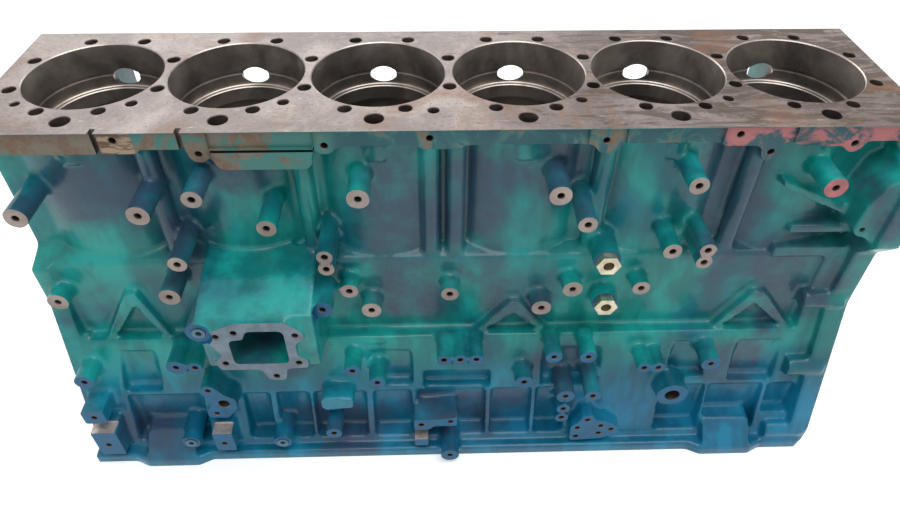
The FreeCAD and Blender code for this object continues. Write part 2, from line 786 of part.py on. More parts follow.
LARGE = "large_boss_radius"
MIDDLE = "middle_boss_radius"
SMALL = "small_boss_radius"


def upper_bosses():
    """The bosses of the jacket wall: cylinder, distance along X, height and size."""
    return (
        (1, -53, 427, LARGE), (1, 76, 428, LARGE), (2, -27, 449, MIDDLE), (2, 44, 408, MIDDLE),
        (2, -66, 356, MIDDLE), (2, -89, 303, LARGE), (3, -63, 364, SMALL), (3, -63, 345, SMALL),
        (3, -18, 447, LARGE), (4, 33, 448, LARGE), (4, 68, 407, MIDDLE), (5, 14, 459, MIDDLE),
        (5, 7, 365, MIDDLE), (5, 48, 366, SMALL), (5, 48, 347, SMALL), (6, -2, 454, LARGE))


def middle_bosses():
    """The shorter bosses below the jacket."""
    return (
        (1, -71, 279, LARGE), (3, -43, 290, MIDDLE), (3, -18, 255, LARGE), (4, -84, 282, MIDDLE),
        (4, 33, 254, LARGE), (4, 69, 287, LARGE), (5, -10, 287, MIDDLE))


def lower_bosses():
    """The bosses of the skirt wall, out to the lower face."""
    return (
        (1, -68, 162, LARGE), (1, 58, 189, LARGE), (1, 82, 188, SMALL), (3, -47, 175, MIDDLE),
        (3, -16, 149, MIDDLE),
        (4, -92, 194, SMALL), (4, -71, 194, SMALL), (4, -50, 194, SMALL), (4, 51, 196, MIDDLE),
        (4, 16, 144, LARGE), (5, -69, 195, MIDDLE), (5, 9, 170, SMALL), (5, 28, 170, SMALL),
        (6, -68, 176, LARGE))


def rail_bosses():
    """The bosses just above the pan rail: cylinder, distance along X, height, size and face."""
    low = size("low_pad_face")
    return (
        (3, -81, 62, MIDDLE, low + 4), (4, -84, 20, LARGE, size("foot_reach") + 5),
        (4, 74, 121, LARGE, low - 8),
        (4, 74, 92, SMALL, low - 8), (4, 74, 71, SMALL, low - 8), (5, -56, 129, MIDDLE, low - 2),
        (2, 10, 43, LARGE, low + 4), (1, 49, 50, LARGE, low + 6),
        (3, -71, 299, LARGE, size("lower_face") + 5))


def all_bosses():
    upper = size("upper_face")
    middle = size("middle_face")
    lower = size("lower_face")
    rows = [row + (upper, size("jacket_radius") + 8) for row in upper_bosses()]
    rows += [row + (middle, size("bay_top_half_width") + 4) for row in middle_bosses()]
    for row in [row + (lower,) for row in lower_bosses()] + list(rail_bosses()):
        height = row[2]
        inner_wall = "bay_middle_half_width" if height > SIZES["lower_rail_height"] else "bay_foot_half_width"
        rows.append(row + (size(inner_wall) + 4,))
    return rows


def make_bosses():
    """The round bosses, and the drills that make their holes."""
    bosses = []
    drills = []
    hole = size("boss_hole_radius")
    depth = size("boss_hole_depth")
    for place, (number, along, height, kind, face, root) in enumerate(all_bosses(), start=1):
        x = cylinder_axis(number) + along
        bosses.append(rod("boss_%d" % place, x, -root, height, size(kind), face - root))
        drills.append(rod("boss_drill_%d" % place, x, depth - face, height, hole, depth + 5))
    return bosses, drills


def filler_place():
    """X and height of the broad boss in the skirt wall."""
    return cylinder_axis(5) + 58, 114


def make_filler_boss():
    x, height = filler_place()
    root = size("bay_foot_half_width") + 4
    return rod("filler_boss", x, -root, height, size("filler_boss_radius"), size("lower_face") + 4 - root)


def make_filler_drill():
    x, height = filler_place()
    depth = size("filler_hole_depth")
    return rod("filler_drill", x, depth - size("lower_face"), height, size("filler_hole_radius"), depth + 9)


def make_valley_columns():
    """The upright round columns in the valleys between the barrels."""
    columns = []
    low = size("jacket_floor_height") - 30
    reach = size("valley_near") + 12
    for place, x in enumerate((bearing_plane(2) - 4, bearing_plane(3) - 2, bearing_plane(4) - 24,
                               bearing_plane(4) + 6, bearing_plane(5) + 8, bearing_plane(6) + 14), start=1):
        columns.append(rod("valley_column_%d" % place, x, -reach, low, 11,
                           deck - size("deck_thickness") - low - 4, UPWARDS))
    return columns


def make_end_bosses():
    """The round bolt bosses that run along X at the gear end, and the foot tube."""
    return [rod("end_boss_%d" % place, deck_end - reach, -out, height, radius, reach - 6, ALONG_X)
            for place, (out, height, radius, reach) in enumerate(
                ((132, 250, 14, 60), (158, 144, 15, 55), (184, 30, 14, 60)), start=1)]


def make_far_drills():
    """The cover's bolt holes in the cooler flange."""
    drills = []
    face = size("cooler_face")
    half = size("cooler_length") / 2
    rows = (size("cooler_bottom") + size("cooler_rim") / 2, size("cooler_top") - 8)
    for row, height in enumerate(rows, start=1):
        for place in range(4):
            x = (place - 1.5) * (2 * half - size("cooler_rim")) / 3
            drills.append(rod("cooler_drill_%d_%d" % (row, place), x, face - 20, height,
                              size("cooler_hole_radius"), 25, TOWARDS_FAR))
    return drills


def port_holes():
    """X and height of the port flange's bolt holes."""
    middle = size("port_middle")
    height = size("port_height")
    half = size("port_width") / 2
    return ((middle - half + 2, height + 21), (middle - 24, height + 27), (middle + half - 2, height + 21),
            (middle + half - 4, height - 29), (middle - half + 4, height - 28), (middle + 13, height - 54))


def cluster_holes():
    """Distance before cylinder 5, and height, of the small holes in the six-hole pad."""
    return ((55, 72), (67, 53), (34, 57), (18, 48), (67, 32), (35, 39))


def make_pad_drills():
    """The threaded holes of the port flange and of the bracket pads."""
    radius = size("port_hole_radius")
    face = size("port_face")
    drills = [rod("port_drill_%d" % place, x, 16 - face, height, radius, 21)
              for place, (x, height) in enumerate(port_holes(), start=1)]
    one, two, three, four, five, six = [cylinder_axis(number) for number in range(1, 7)]
    low = size("low_pad_face")
    depth = size("boss_hole_depth")
    group = size("group_face")
    spots = [(one - 69, 105, radius, low), (one - 66, 48, radius, low + 6), (two - 71, 45, radius, low + 6),
             (four - 124, 72, radius, low), (four - 83, 78, radius, low), (two - 75, 146, radius, group),
             (two - 60, 117, size("group_hole_radius"), group), (two - 74, 95, radius, group)]
    spots += [(five - along, height, radius, low - 2) for along, height in cluster_holes()]
    for place, (x, height, bore, flat) in enumerate(spots, start=1):
        drills.append(rod("pad_drill_%d" % place, x, depth - flat, height, bore, depth + 5))
    x, height = ear_hole()
    drills.append(rod("ear_drill", x, 30 - size("ear_reach"), height, size("boss_hole_radius") + 1, 35))
    near = size("deck_near")
    for place, (x, below) in enumerate(deck_lugs(), start=1):
        drills.append(rod("lug_drill_%d" % place, x, 18 - near, deck - below, size("boss_hole_radius"), 24))
    return drills


# ---------------------------------------------------------------- bearing caps and their bolts

def make_cap(number):
    """A main bearing cap, seated between the register's walls with its bore in line with the block's."""
    body = new_body("cap_body_%d" % number)
    half = size("cap_half_width") - size("register_play")
    foot = size("cap_foot_height")
    section = sketch_on(body, "cap_section_%d" % number, "YZ_Plane", (0, 0, bearing_plane(number)))
    inner = size("cap_bolt_spread") - size("bolt_head_radius") - 1
    belly = foot - size("cap_belly")
    outline(section, [
        (-half, crank), (-half, foot + 12), (4 - half, foot), (-inner, foot), (20 - inner, belly),
        (inner - 20, belly), (inner, foot), (half - 4, foot), (half, foot + 12), (half, crank)])
    feature(body, "Pad", section, "cap_pad_%d" % number, size("cap_thickness"), both_ways=True)
    bore = sketch_on(body, "cap_bore_%d" % number, "YZ_Plane", (0, 0, bearing_plane(number)))
    circle(bore, 0, crank, size("bearing_bore_radius"))
    feature(body, "Pocket", bore, "cap_bore_cut_%d" % number, size("cap_thickness") + 2, both_ways=True)
    holes = sketch_on(body, "cap_holes_%d" % number, "XY_Plane", (bearing_plane(number), 0, crank))
    for side in (-1, 1):
        circle(holes, 0, side * size("cap_bolt_spread"), size("cap_bolt_radius") + size("cap_bolt_clearance"))
    feature(body, "Pocket", holes, "cap_hole_cut_%d" % number, crank)
    body.Label = "main_cap_%d" % number
    return body


def hexagon(name, x, y, z, radius, height, rotation=UPWARDS):
    item = doc.addObject("Part::Prism", name)
    item.Polygon = 6
    bind(item, "Circumradius", radius)
    bind(item, "Height", height)
    return placed(item, x, y, z, rotation)


def make_cap_bolt(number, side, side_name):
    """A hexagon bolt, up through the cap into the block."""
    label = "main_cap_bolt_%d_%s" % (number, side_name)
    x = bearing_plane(number)
    y = side * size("cap_bolt_spread")
    seat = size("cap_foot_height")
    head = size("bolt_head_height")
    reach = crank - seat + size("cap_bolt_depth") - 6
    bolt = fused(label + "_body", [
        rod(label + "_shank", x, y, seat - head / 2, size("cap_bolt_radius") - size("thread_play"),
            reach + head / 2, UPWARDS),
        hexagon(label + "_head", x, y, seat - head, size("bolt_head_radius"), head)])
    bolt.Label = label
    return bolt


# ---------------------------------------------------------------- unions and plugs

def unions():
    """Name, X, height and face of the two hose unions on the near wall."""
    return (("hose_union_upper", cylinder_axis(5) - 62, 339, size("upper_face") - 14),
            ("hose_union_lower", cylinder_axis(5) - 51, 259, size("middle_face") - 4))


def make_union(name, x, height, face):
    """A hexagon adapter with a threaded bore, screwed into its boss."""
    spigot = size("union_spigot_depth")
    outside = fused(name + "_outside", [
        hexagon(name + "_hexagon", x, -face, height, size("union_radius"), size("union_reach"), TOWARDS_NEAR),
        rod(name + "_spigot", x, spigot - face, height, size("union_bore_radius") + 3, spigot + 1)])
    bore = rod(name + "_bore", x, spigot - face - 1, height, size("union_bore_radius"),
               spigot + size("union_reach") + 2)
    union = cut(name + "_body", outside, bore)
    union.Label = name
    return union


def side_plugs():
    """Place and rotation of the small plugs, in the near wall and in both ends."""
    low = size("low_pad_face")
    out = -1 * size("gallery_reach")
    height = size("gallery_height")
    return (
        (cylinder_axis(1) + 49, -low - 6, 50, TOWARDS_NEAR),
        (cylinder_axis(2) + 10, -low - 4, 43, TOWARDS_NEAR),
        (size("port_middle") - 66, 6 - size("port_face"), size("port_height") + 22, TOWARDS_NEAR),
        (-body_end, out, height, AGAINST_X),
        (deck_end - size("plug_proud"), out, height, ALONG_X))


def gallery_plugs():
    """Place and rotation of the plugs that close the main gallery's two ends."""
    out = size("gallery_reach")
    height = size("gallery_height")
    return ((-body_end, out, height, AGAINST_X), (deck_end - size("plug_proud"), out, height, ALONG_X))


def moved(place, rotation, distance):
    """A place moved along a rotated axis."""
    direction = rotation.multVec(FreeCAD.Vector(0, 0, 1))
    return [fixed(value) + distance * round(part) for value, part in zip(place, direction)]


def make_plugs(label, rows, radius):
    """Plugs with hexagon sockets, standing a little proud of their holes."""
    depth = size("plug_depth")
    outsides = []
    sockets = []
    for place, (x, y, z, rotation) in enumerate(rows, start=1):
        start = moved((x, y, z), rotation, -1 * depth)
        outsides.append(rod("%s_%d" % (label, place), *start, radius, depth + size("plug_proud"), rotation))
        start = moved((x, y, z), rotation, -1 * depth / 2)
        sockets.append(hexagon("%s_socket_%d" % (label, place), *start, radius / 2, depth, rotation))
    plugs = cut(label + "_bodies", fused(label + "_outsides", outsides), fused(label + "_sockets", sockets))
    plugs.Label = label
    return plugs


def make_seats():
    """The tapped holes that hold the unions and the plugs."""
    play = size("thread_play")
    seats = []
    for name, x, height, face in unions():
        seats.append(rod(name + "_seat", x, size("union_spigot_depth") + 4 - face, height,
                         size("union_bore_radius") + 3 + play, size("union_spigot_depth") + 4 + 2))
    depth = size("plug_depth")
    for label, rows, radius in (("side_plug", side_plugs(), size("plug_radius")),
                                ("gallery_plug", gallery_plugs(), size("gallery_plug_radius"))):
        for place, (x, y, z, rotation) in enumerate(rows, start=1):
            start = moved((x, y, z), rotation, -1 * depth)
            seats.append(rod("%s_seat_%d" % (label, place), *start, radius + play, depth + 6, rotation))
    return seats


def make_union_bosses():
    root = size("jacket_radius") + 8
    return [rod(name + "_boss", x, -root, height, size("union_radius") + 2, face - root)
            for name, x, height, face in unions()]


def make_block():
    """The finished casting: the cored solid, what is cast onto it, and every drilled hole."""
    bosses, drills = make_bosses()
    forms = [make_core_casting(), make_near_forms(), make_far_forms(), make_gear_end(), make_filler_boss()]
    forms += bosses + make_union_bosses() + make_valley_columns() + make_end_bosses()
    solid = fused("cast_block", forms)
    drills += make_far_drills() + make_pad_drills() + make_end_drills() + make_seats()
    hollows = fused("hollows", [make_chamber(), make_filler_drill()] + drills)
    block = cut("machined_block", solid, hollows)
    block.Label = "cylinder_block"
    return block


# ---------------------------------------------------------------- writing out

def check(items):
    for item in items:
        if "Invalid" in item.State or "Error" in item.State:
            raise RuntimeError(item.Name + " failed: " + str(item.State))


def main():
    nodes = [make_block()]
    for number in range(1, BEARINGS + 1):
        nodes.append(make_cap(number))
        nodes.append(make_cap_bolt(number, -1, "near"))
        nodes.append(make_cap_bolt(number, 1, "far"))
    nodes += [make_union(*row) for row in unions()]
    nodes.append(make_plugs("side_plugs", side_plugs(), size("plug_radius")))
    nodes.append(make_plugs("gallery_plugs", gallery_plugs(), size("gallery_plug_radius")))
    doc.recompute()
    check(doc.Objects)
    for node in nodes:
        if node.Shape.isNull() or not node.Shape.isValid():
            raise RuntimeError(node.Label + " has no valid solid")
    os.makedirs("parts", exist_ok=True)
    for node in nodes:
        node.Shape.exportStep("parts/" + node.Label + ".step")
        print(node.Label, len(node.Shape.Solids), round(node.Shape.Volume / 1000), "cm3")


main()
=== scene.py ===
"""Dresses the cylinder block: its cast skin, machined faces, paint, small parts and stage."""
import math

import bmesh
import bpy
from mathutils import Matrix, Vector


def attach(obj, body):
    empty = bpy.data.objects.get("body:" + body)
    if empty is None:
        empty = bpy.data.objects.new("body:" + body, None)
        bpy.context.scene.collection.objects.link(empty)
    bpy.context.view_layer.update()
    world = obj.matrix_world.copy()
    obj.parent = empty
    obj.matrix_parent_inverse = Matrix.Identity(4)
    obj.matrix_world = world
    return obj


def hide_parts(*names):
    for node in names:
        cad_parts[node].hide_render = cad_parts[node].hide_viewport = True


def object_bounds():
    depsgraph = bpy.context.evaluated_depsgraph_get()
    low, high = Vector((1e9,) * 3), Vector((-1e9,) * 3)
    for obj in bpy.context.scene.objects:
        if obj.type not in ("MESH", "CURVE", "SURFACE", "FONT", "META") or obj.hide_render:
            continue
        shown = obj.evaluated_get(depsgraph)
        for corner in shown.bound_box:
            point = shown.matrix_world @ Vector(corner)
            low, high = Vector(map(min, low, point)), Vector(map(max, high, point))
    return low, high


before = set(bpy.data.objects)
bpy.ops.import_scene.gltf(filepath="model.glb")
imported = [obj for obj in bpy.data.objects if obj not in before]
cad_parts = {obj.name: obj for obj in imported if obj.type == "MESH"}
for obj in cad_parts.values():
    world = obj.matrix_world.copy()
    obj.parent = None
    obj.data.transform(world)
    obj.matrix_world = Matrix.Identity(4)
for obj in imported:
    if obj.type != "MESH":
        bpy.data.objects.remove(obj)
cad_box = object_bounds()

bl_info = {
    "name": "Cylinder Block Dresser",
    "version": (1, 0, 0),
    "blender": (4, 5, 0),
    "location": "View3D > Sidebar > Block",
    "description": "Builds the cast and machined skin of an in-line six block and its stage",
    "category": "Object",
}

# Sizes and places are in millimetres, in the frame's axes.
MM = 0.001
CYLINDERS = 6
BEARINGS = 7
PITCH = 165
DECK = round(cad_box[1][2] / MM)
DECK_END = round(cad_box[1][0] / MM)
BODY_END = DECK_END - 9
CRANK = 108
CRANK_BORE = 57
BORE_FOOT = 236
JACKET_FOOT = 330
CAP_BOLT_OUT = 78
CAP_REACH = 100
WINDOW_HEIGHT = 464

# The head bolts: out from the middle at the bearings, then along, near and far at the cylinders.
BEARING_BOLT_OUT = 34.7
BOLT_ALONG = 33
BOLT_NEAR = -82.2
BOLT_FAR = 84
WATER_HOLE_NEAR = -102.8

# How far the machined faces stand from the middle plane.
UPPER_FACE = 164
MIDDLE_FACE = 146
LOWER_FACE = 180
LOW_PAD_FACE = 196
GROUP_FACE = 186
DECK_NEAR = 124
PLATE_FACE = 128
EAR_FACE = 150
PORT_FACE = 212
COOLER_FACE = 168
PORT_MIDDLE = -230
PORT_HEIGHT = 264

# Radii of the round bosses, and of the tapped holes in the pads.
LARGE = 13
MEDIUM = 11.5
SMALL = 10
PAD_TAP = 3.6

# The stock on the machined faces while the skin is rounded, and the cutters' reach past walls and faces.
STOCK = 4
PAST_WALLS = 240
PAST_FACE = 9

# Places of the materials on the casting.
PAINT, DECK_IRON, BORE_IRON, BARE_FACE, HOLE_AND_SLOT_SHADE, BLUE_FACE = range(6)
RAW_IRON, WORN_LIP, STEP, PINK_FACE, FLANGE = range(6, 11)


def cylinder_axis(number):
    """X of a cylinder's axis, counted from the front end."""
    return (number - 3.5) * PITCH


def bearing_plane(number):
    """X of a main bearing's middle."""
    return (number - 4) * PITCH


# ---------------------------------------------------------------- what a user would change

class BlockSizes(bpy.types.PropertyGroup):
    """Sizes of the cast and machined skin."""
    voxel: bpy.props.FloatProperty(
        name="Skin grain", description="Edge length of the voxels that round the casting",
        default=0.0028, min=0.001, max=0.01, unit="LENGTH")
    softening: bpy.props.IntProperty(
        name="Fillet passes", description="Smoothing passes over the cast skin", default=7, min=0, max=30)
    faces: bpy.props.FloatProperty(
        name="Faces kept", description="Share of the skin's faces that stays after thinning",
        default=0.15, min=0.02, max=1.0, subtype="FACTOR")
    tapped_radius: bpy.props.FloatProperty(
        name="Tapped hole", description="Radius of the tapped holes in the bosses",
        default=0.0036, min=0.002, max=0.005, unit="LENGTH")


class BlockColours(bpy.types.PropertyGroup):
    """Colours of the paint and of the metals."""
    paint: bpy.props.FloatVectorProperty(
        name="Paint", description="Main colour of the paint", subtype="COLOR", size=3,
        default=(0.006, 0.270, 0.245), min=0, max=1)
    # Dark sprayed paint that drifted over the paint; it is also the painted shade inside the port's opening.
    spray_and_port_shade: bpy.props.FloatVectorProperty(
        name="Overspray", description="Dark colour that drifted over the paint", subtype="COLOR", size=3,
        default=(0.036, 0.056, 0.105), min=0, max=1)
    deep: bpy.props.FloatVectorProperty(
        name="Lower paint", description="Bluer paint towards the foot", subtype="COLOR", size=3,
        default=(0.003, 0.155, 0.290), min=0, max=1)
    iron: bpy.props.FloatVectorProperty(
        name="Deck iron", description="Colour of the machined deck", subtype="COLOR", size=3,
        default=(0.235, 0.196, 0.178), min=0, max=1)
    bore: bpy.props.FloatVectorProperty(
        name="Bore iron", description="Colour of the honed bores", subtype="COLOR", size=3,
        default=(0.420, 0.375, 0.340), min=0, max=1)
    rust: bpy.props.FloatVectorProperty(
        name="Rust", description="Colour of the rust stains", subtype="COLOR", size=3,
        default=(0.180, 0.070, 0.028), min=0, max=1)
    bare: bpy.props.FloatVectorProperty(
        name="Bare faces", description="Colour of the bare boss faces", subtype="COLOR", size=3,
        default=(0.330, 0.275, 0.250), min=0, max=1)
    shadow: bpy.props.FloatVectorProperty(
        name="Second coat", description="Darker, bluer drifts in the paint", subtype="COLOR", size=3,
        default=(0.006, 0.130, 0.165), min=0, max=1)
    worn: bpy.props.FloatVectorProperty(
        name="Worn paint", description="Thin paint on the deck's near edge", subtype="COLOR", size=3,
        default=(0.040, 0.190, 0.165), min=0, max=1)
    primer: bpy.props.FloatVectorProperty(
        name="Primer", description="Colour of the primer on the gear end's faces", subtype="COLOR", size=3,
        default=(0.520, 0.165, 0.170), min=0, max=1)


class StageSettings(bpy.types.PropertyGroup):
    """The floor and the light."""
    floor: bpy.props.FloatVectorProperty(
        name="Floor", description="Colour of the floor and backdrop", subtype="COLOR", size=3,
        default=(0.95, 0.95, 0.95), min=0, max=1)
    key_power: bpy.props.FloatProperty(
        name="Key light", description="Power of the large soft lamp", default=30.0, min=0, max=500,
        unit="POWER")


# ---------------------------------------------------------------- what is machined

def upper_bosses():
    """Cylinder, distance along X, height and radius of the bosses on the jacket wall."""
    return (
        (1, -53, 427, LARGE), (1, 76, 428, LARGE), (2, -27, 449, MEDIUM), (2, 44, 408, MEDIUM),
        (2, -66, 356, MEDIUM), (2, -89, 303, LARGE), (3, -63, 364, SMALL), (3, -63, 345, SMALL),
        (3, -18, 447, LARGE), (4, 33, 448, LARGE), (4, 68, 407, MEDIUM), (5, 14, 459, MEDIUM),
        (5, 7, 365, MEDIUM), (5, 48, 366, SMALL), (5, 48, 347, SMALL), (6, -2, 454, LARGE))


def middle_bosses():
    """The same for the bosses at the foot of the jacket wall."""
    return (
        (1, -71, 279, LARGE), (3, -43, 290, MEDIUM), (3, -18, 255, LARGE), (4, -84, 282, MEDIUM),
        (4, 33, 254, LARGE), (4, 69, 287, LARGE), (5, -10, 287, MEDIUM))


def lower_bosses():
    """The same for the bosses on the crankcase wall."""
    return (
        (1, -68, 162, LARGE), (1, 58, 189, LARGE), (1, 82, 188, SMALL), (3, -47, 175, MEDIUM),
        (3, -16, 149, MEDIUM), (4, -92, 194, SMALL), (4, -71, 194, SMALL), (4, -50, 194, SMALL),
        (4, 51, 196, MEDIUM), (4, 16, 144, LARGE), (5, -69, 195, MEDIUM), (5, 9, 170, SMALL),
        (5, 28, 170, SMALL), (6, -68, 176, LARGE))


def rail_bosses():
    """The bosses just above the pan rail, with their faces."""
    return (
        (3, -81, 62, MEDIUM, LOW_PAD_FACE + 4), (4, -84, 20, LARGE, 213),
        (4, 74, 121, LARGE, LOW_PAD_FACE - 8),
        (4, 74, 92, SMALL, LOW_PAD_FACE - 8), (4, 74, 71, SMALL, LOW_PAD_FACE - 8),
        (5, -56, 129, MEDIUM, LOW_PAD_FACE - 2), (3, -71, 299, LARGE, LOWER_FACE + 5))


def plugged_bosses():
    """The bosses whose holes are closed by a plug or a union: X, height, radius, face, hole radius."""
    return (
        (cylinder_axis(1) + 49, 50, LARGE, LOW_PAD_FACE + 6, 8.3),
        (cylinder_axis(2) + 10, 43, LARGE, LOW_PAD_FACE + 4, 8.3),
        (PORT_MIDDLE - 66, PORT_HEIGHT + 22, 16, PORT_FACE - 6, 8.3),
        (cylinder_axis(5) - 62, 339, 17, UPPER_FACE - 14, 9.8),
        (cylinder_axis(5) - 51, 259, 17, MIDDLE_FACE - 4, 9.8),
        (cylinder_axis(5) + 58, 114, 22, LOWER_FACE + 4, 10.5))


def tapped_bosses():
    """X, height, radius, face and finish of every boss with a tapped hole."""
    rows = [row + (UPPER_FACE, PINK_FACE if row[0] == CYLINDERS else BARE_FACE) for row in upper_bosses()]
    rows += [row + (MIDDLE_FACE, BARE_FACE) for row in middle_bosses()]
    rows += [row + (LOWER_FACE, BLUE_FACE) for row in lower_bosses()]
    rows += [row + (BLUE_FACE,) for row in rail_bosses()]
    return [(cylinder_axis(number) + along, height, radius, face, finish)
            for number, along, height, radius, face, finish in rows]


def port_holes():
    """X and height of the tapped holes in the port's flange."""
    return ((PORT_MIDDLE - 46, PORT_HEIGHT + 21), (PORT_MIDDLE - 24, PORT_HEIGHT + 27),
            (PORT_MIDDLE + 46, PORT_HEIGHT + 21), (PORT_MIDDLE + 44, PORT_HEIGHT - 29),
            (PORT_MIDDLE - 44, PORT_HEIGHT - 28), (PORT_MIDDLE + 13, PORT_HEIGHT - 54))


def deck_bolts():
    """X and Y of every head bolt hole."""
    spots = [(bearing_plane(number), side * BEARING_BOLT_OUT)
             for number in range(1, BEARINGS + 1) for side in (-1, 1)]
    for number in range(1, CYLINDERS + 1):
        for along in (-BOLT_ALONG, BOLT_ALONG):
            spots += [(cylinder_axis(number) + along, BOLT_NEAR), (cylinder_axis(number) + along, BOLT_FAR)]
    return spots


def edge_holes():
    """X and height of the tapped holes in the deck's near edge and the lugs under it."""
    one, two, four, six = (cylinder_axis(number) for number in (1, 2, 4, 6))
    return ((one + 58, 497), (two - 22, 479), (two + 112, 488), (four - 106, 496), (four + 83, 491),
            (six - 104, 497), (six - 64, 474), (six + 25, 484))


def dowel_holes():
    """X, Y and radius of the smaller holes in the deck, beside the bearing planes."""
    spots = [(bearing_plane(1) + 20, -66, 5)]
    for number in range(2, BEARINGS):
        spots.append((bearing_plane(number) - 19, -87 if number == 4 else -67, 6.2))
    return spots


def pad_holes():
    """X, height, face and radius of the tapped holes in the pads, and of the one in the ear."""
    one, two, four, five = (cylinder_axis(number) for number in (1, 2, 4, 5))
    low = LOW_PAD_FACE
    spots = [(one - 69, 105, low, PAD_TAP), (one - 66, 48, low + 6, PAD_TAP),
             (two - 71, 45, low + 6, PAD_TAP), (four - 124, 72, low, PAD_TAP), (four - 83, 78, low, PAD_TAP),
             (two - 75, 146, GROUP_FACE, PAD_TAP), (two - 60, 117, GROUP_FACE, 7.5),
             (two - 74, 95, GROUP_FACE, PAD_TAP), (DECK_END - 44, 385, EAR_FACE, 4.6)]
    for along, height in ((55, 72), (67, 53), (34, 57), (18, 48), (67, 32), (35, 39)):
        spots.append((five - along, height, low - 2, PAD_TAP))
    return spots


def end_holes():
    """How far out, and how high, the bolt holes of both end faces stand."""
    return ((164, 36), (148, 118), (128, 196), (108, 296))


def ledges():
    """Left, foot and right of the bare steps under the upper pads, and their outer face."""
    one, two, four = (cylinder_axis(number) for number in (1, 2, 4))
    return ((one - 83, 80, one - 47, LOW_PAD_FACE + 6), (two - 85, 72, two - 55, LOW_PAD_FACE + 6),
            (four - 135, 48, four - 113, LOW_PAD_FACE + 6))


def pad_boxes():
    """Left, foot, right, top and face of the machined pads near the rail."""
    one, two, four, five = (cylinder_axis(number) for number in (1, 2, 4, 5))
    return (
        (one - 85, 91, one - 53, 119, LOW_PAD_FACE), (two - 90, 83, two - 39, 159, GROUP_FACE),
        (four - 135, 59, four - 73, 89, LOW_PAD_FACE),
        (one - 83, 23, one - 47, 81, LOW_PAD_FACE + 6), (two - 85, 27, two - 55, 73, LOW_PAD_FACE + 6),
        (four - 135, 29, four - 113, 49, LOW_PAD_FACE + 6),
        (five - 81, 23, five - 7, 81, LOW_PAD_FACE - 2))


# ---------------------------------------------------------------- bmesh tools

def paint_faces(faces, slot):
    """Gives faces the material at a place on the casting."""
    for face in faces:
        face.material_index = slot


def add_box(bm, low, high, slot=PAINT):
    """A box between two corners, in millimetres."""
    low = Vector(low) * MM
    high = Vector(high) * MM
    place = Matrix.Translation((low + high) / 2) @ Matrix.Diagonal((*(high - low), 1))
    made = bmesh.ops.create_cube(bm, size=1, matrix=place)
    paint_faces({face for vertex in made["verts"] for face in vertex.link_faces}, slot)


TURNS = {
    "+Z": Matrix.Identity(4), "-Z": Matrix.Rotation(math.pi, 4, "X"),
    "-Y": Matrix.Rotation(math.pi / 2, 4, "X"), "+Y": Matrix.Rotation(-math.pi / 2, 4, "X"),
    "+X": Matrix.Rotation(math.pi / 2, 4, "Y"), "-X": Matrix.Rotation(-math.pi / 2, 4, "Y"),
}


def island(start):
    """Every vertex that edges join to the first one."""
    found = {start}
    waiting = [start]
    while waiting:
        for edge in waiting.pop().link_edges:
            for vertex in edge.verts:
                if vertex not in found:
                    found.add(vertex)
                    waiting.append(vertex)
    return found


def add_turned(bm, place, way, profile, slot=PAINT, steps=24):
    """A turned solid: its profile of radius and height, in millimetres, spun about an axis."""
    matrix = Matrix.Translation(Vector(place) * MM) @ TURNS[way]
    points = [bm.verts.new(matrix @ Vector((radius * MM, 0, height * MM))) for radius, height in profile]
    lines = [bm.edges.new(pair) for pair in zip(points, points[1:])]
    bmesh.ops.spin(bm, geom=points + lines, cent=matrix.translation, axis=matrix.to_3x3() @ Vector((0, 0, 1)),
                   dvec=(0, 0, 0), angle=2 * math.pi, steps=steps, use_merge=True, use_duplicate=False)
    middle = points[len(points) // 2]
    bmesh.ops.remove_doubles(bm, verts=list(island(middle)), dist=1e-6)
    faces = list({face for vertex in island(middle) for face in vertex.link_faces})
    bmesh.ops.recalc_face_normals(bm, faces=faces)
    paint_faces(faces, slot)


def add_rod(bm, place, way, radius, start, stop, slot=PAINT, steps=24, flatten=1):
    """A round rod, or an oval one where flatten isn't 1, between two distances from its place."""
    matrix = (Matrix.Translation(Vector(place) * MM) @ TURNS[way]
              @ Matrix.Translation((0, 0, (start + stop) / 2 * MM))
              @ Matrix.Diagonal((radius * MM, radius * flatten * MM, (stop - start) * MM, 1)))
    made = bmesh.ops.create_cone(bm, cap_ends=True, segments=steps, radius1=1, radius2=1, depth=1,
                                 matrix=matrix)
    paint_faces({face for vertex in made["verts"] for face in vertex.link_faces}, slot)


def add_drill(bm, place, way, radius, depth, slot=HOLE_AND_SLOT_SHADE, steps=20, countersink=0.8, above=3):
    """A drilled hole with a countersunk mouth and a pointed end."""
    add_turned(bm, place, way, [
        (0, above), (radius + countersink, above), (radius + countersink, 0), (radius, -countersink),
        (radius, -depth), (0, -depth - radius * 0.5)], slot, steps)


def finished(name, bm, materials=()):
    """A mesh object at the origin, made of what the bmesh holds."""
    mesh = bpy.data.meshes.new(name)
    bm.to_mesh(mesh)
    bm.free()
    item = bpy.data.objects.new(name, mesh)
    bpy.context.scene.collection.objects.link(item)
    for material in materials:
        mesh.materials.append(material)
    return item


def apply_modifier(item, kind, **settings):
    """Makes what a modifier does part of the object's mesh."""
    modifier = item.modifiers.new(kind.lower(), kind)
    for key, value in settings.items():
        setattr(modifier, key, value)
    graph = bpy.context.evaluated_depsgraph_get()
    mesh = bpy.data.meshes.new_from_object(item.evaluated_get(graph))
    item.modifiers.remove(modifier)
    old = item.data
    item.data = mesh
    bpy.data.meshes.remove(old)


def cut_away(item, name, fill):
    """Cuts what a function draws out of an object."""
    bm = bmesh.new()
    fill(bm)
    tool = finished(name, bm, item.data.materials)
    apply_modifier(item, "BOOLEAN", operation="DIFFERENCE", solver="MANIFOLD", object=tool)
    bpy.data.objects.remove(tool)


# ---------------------------------------------------------------- the casting

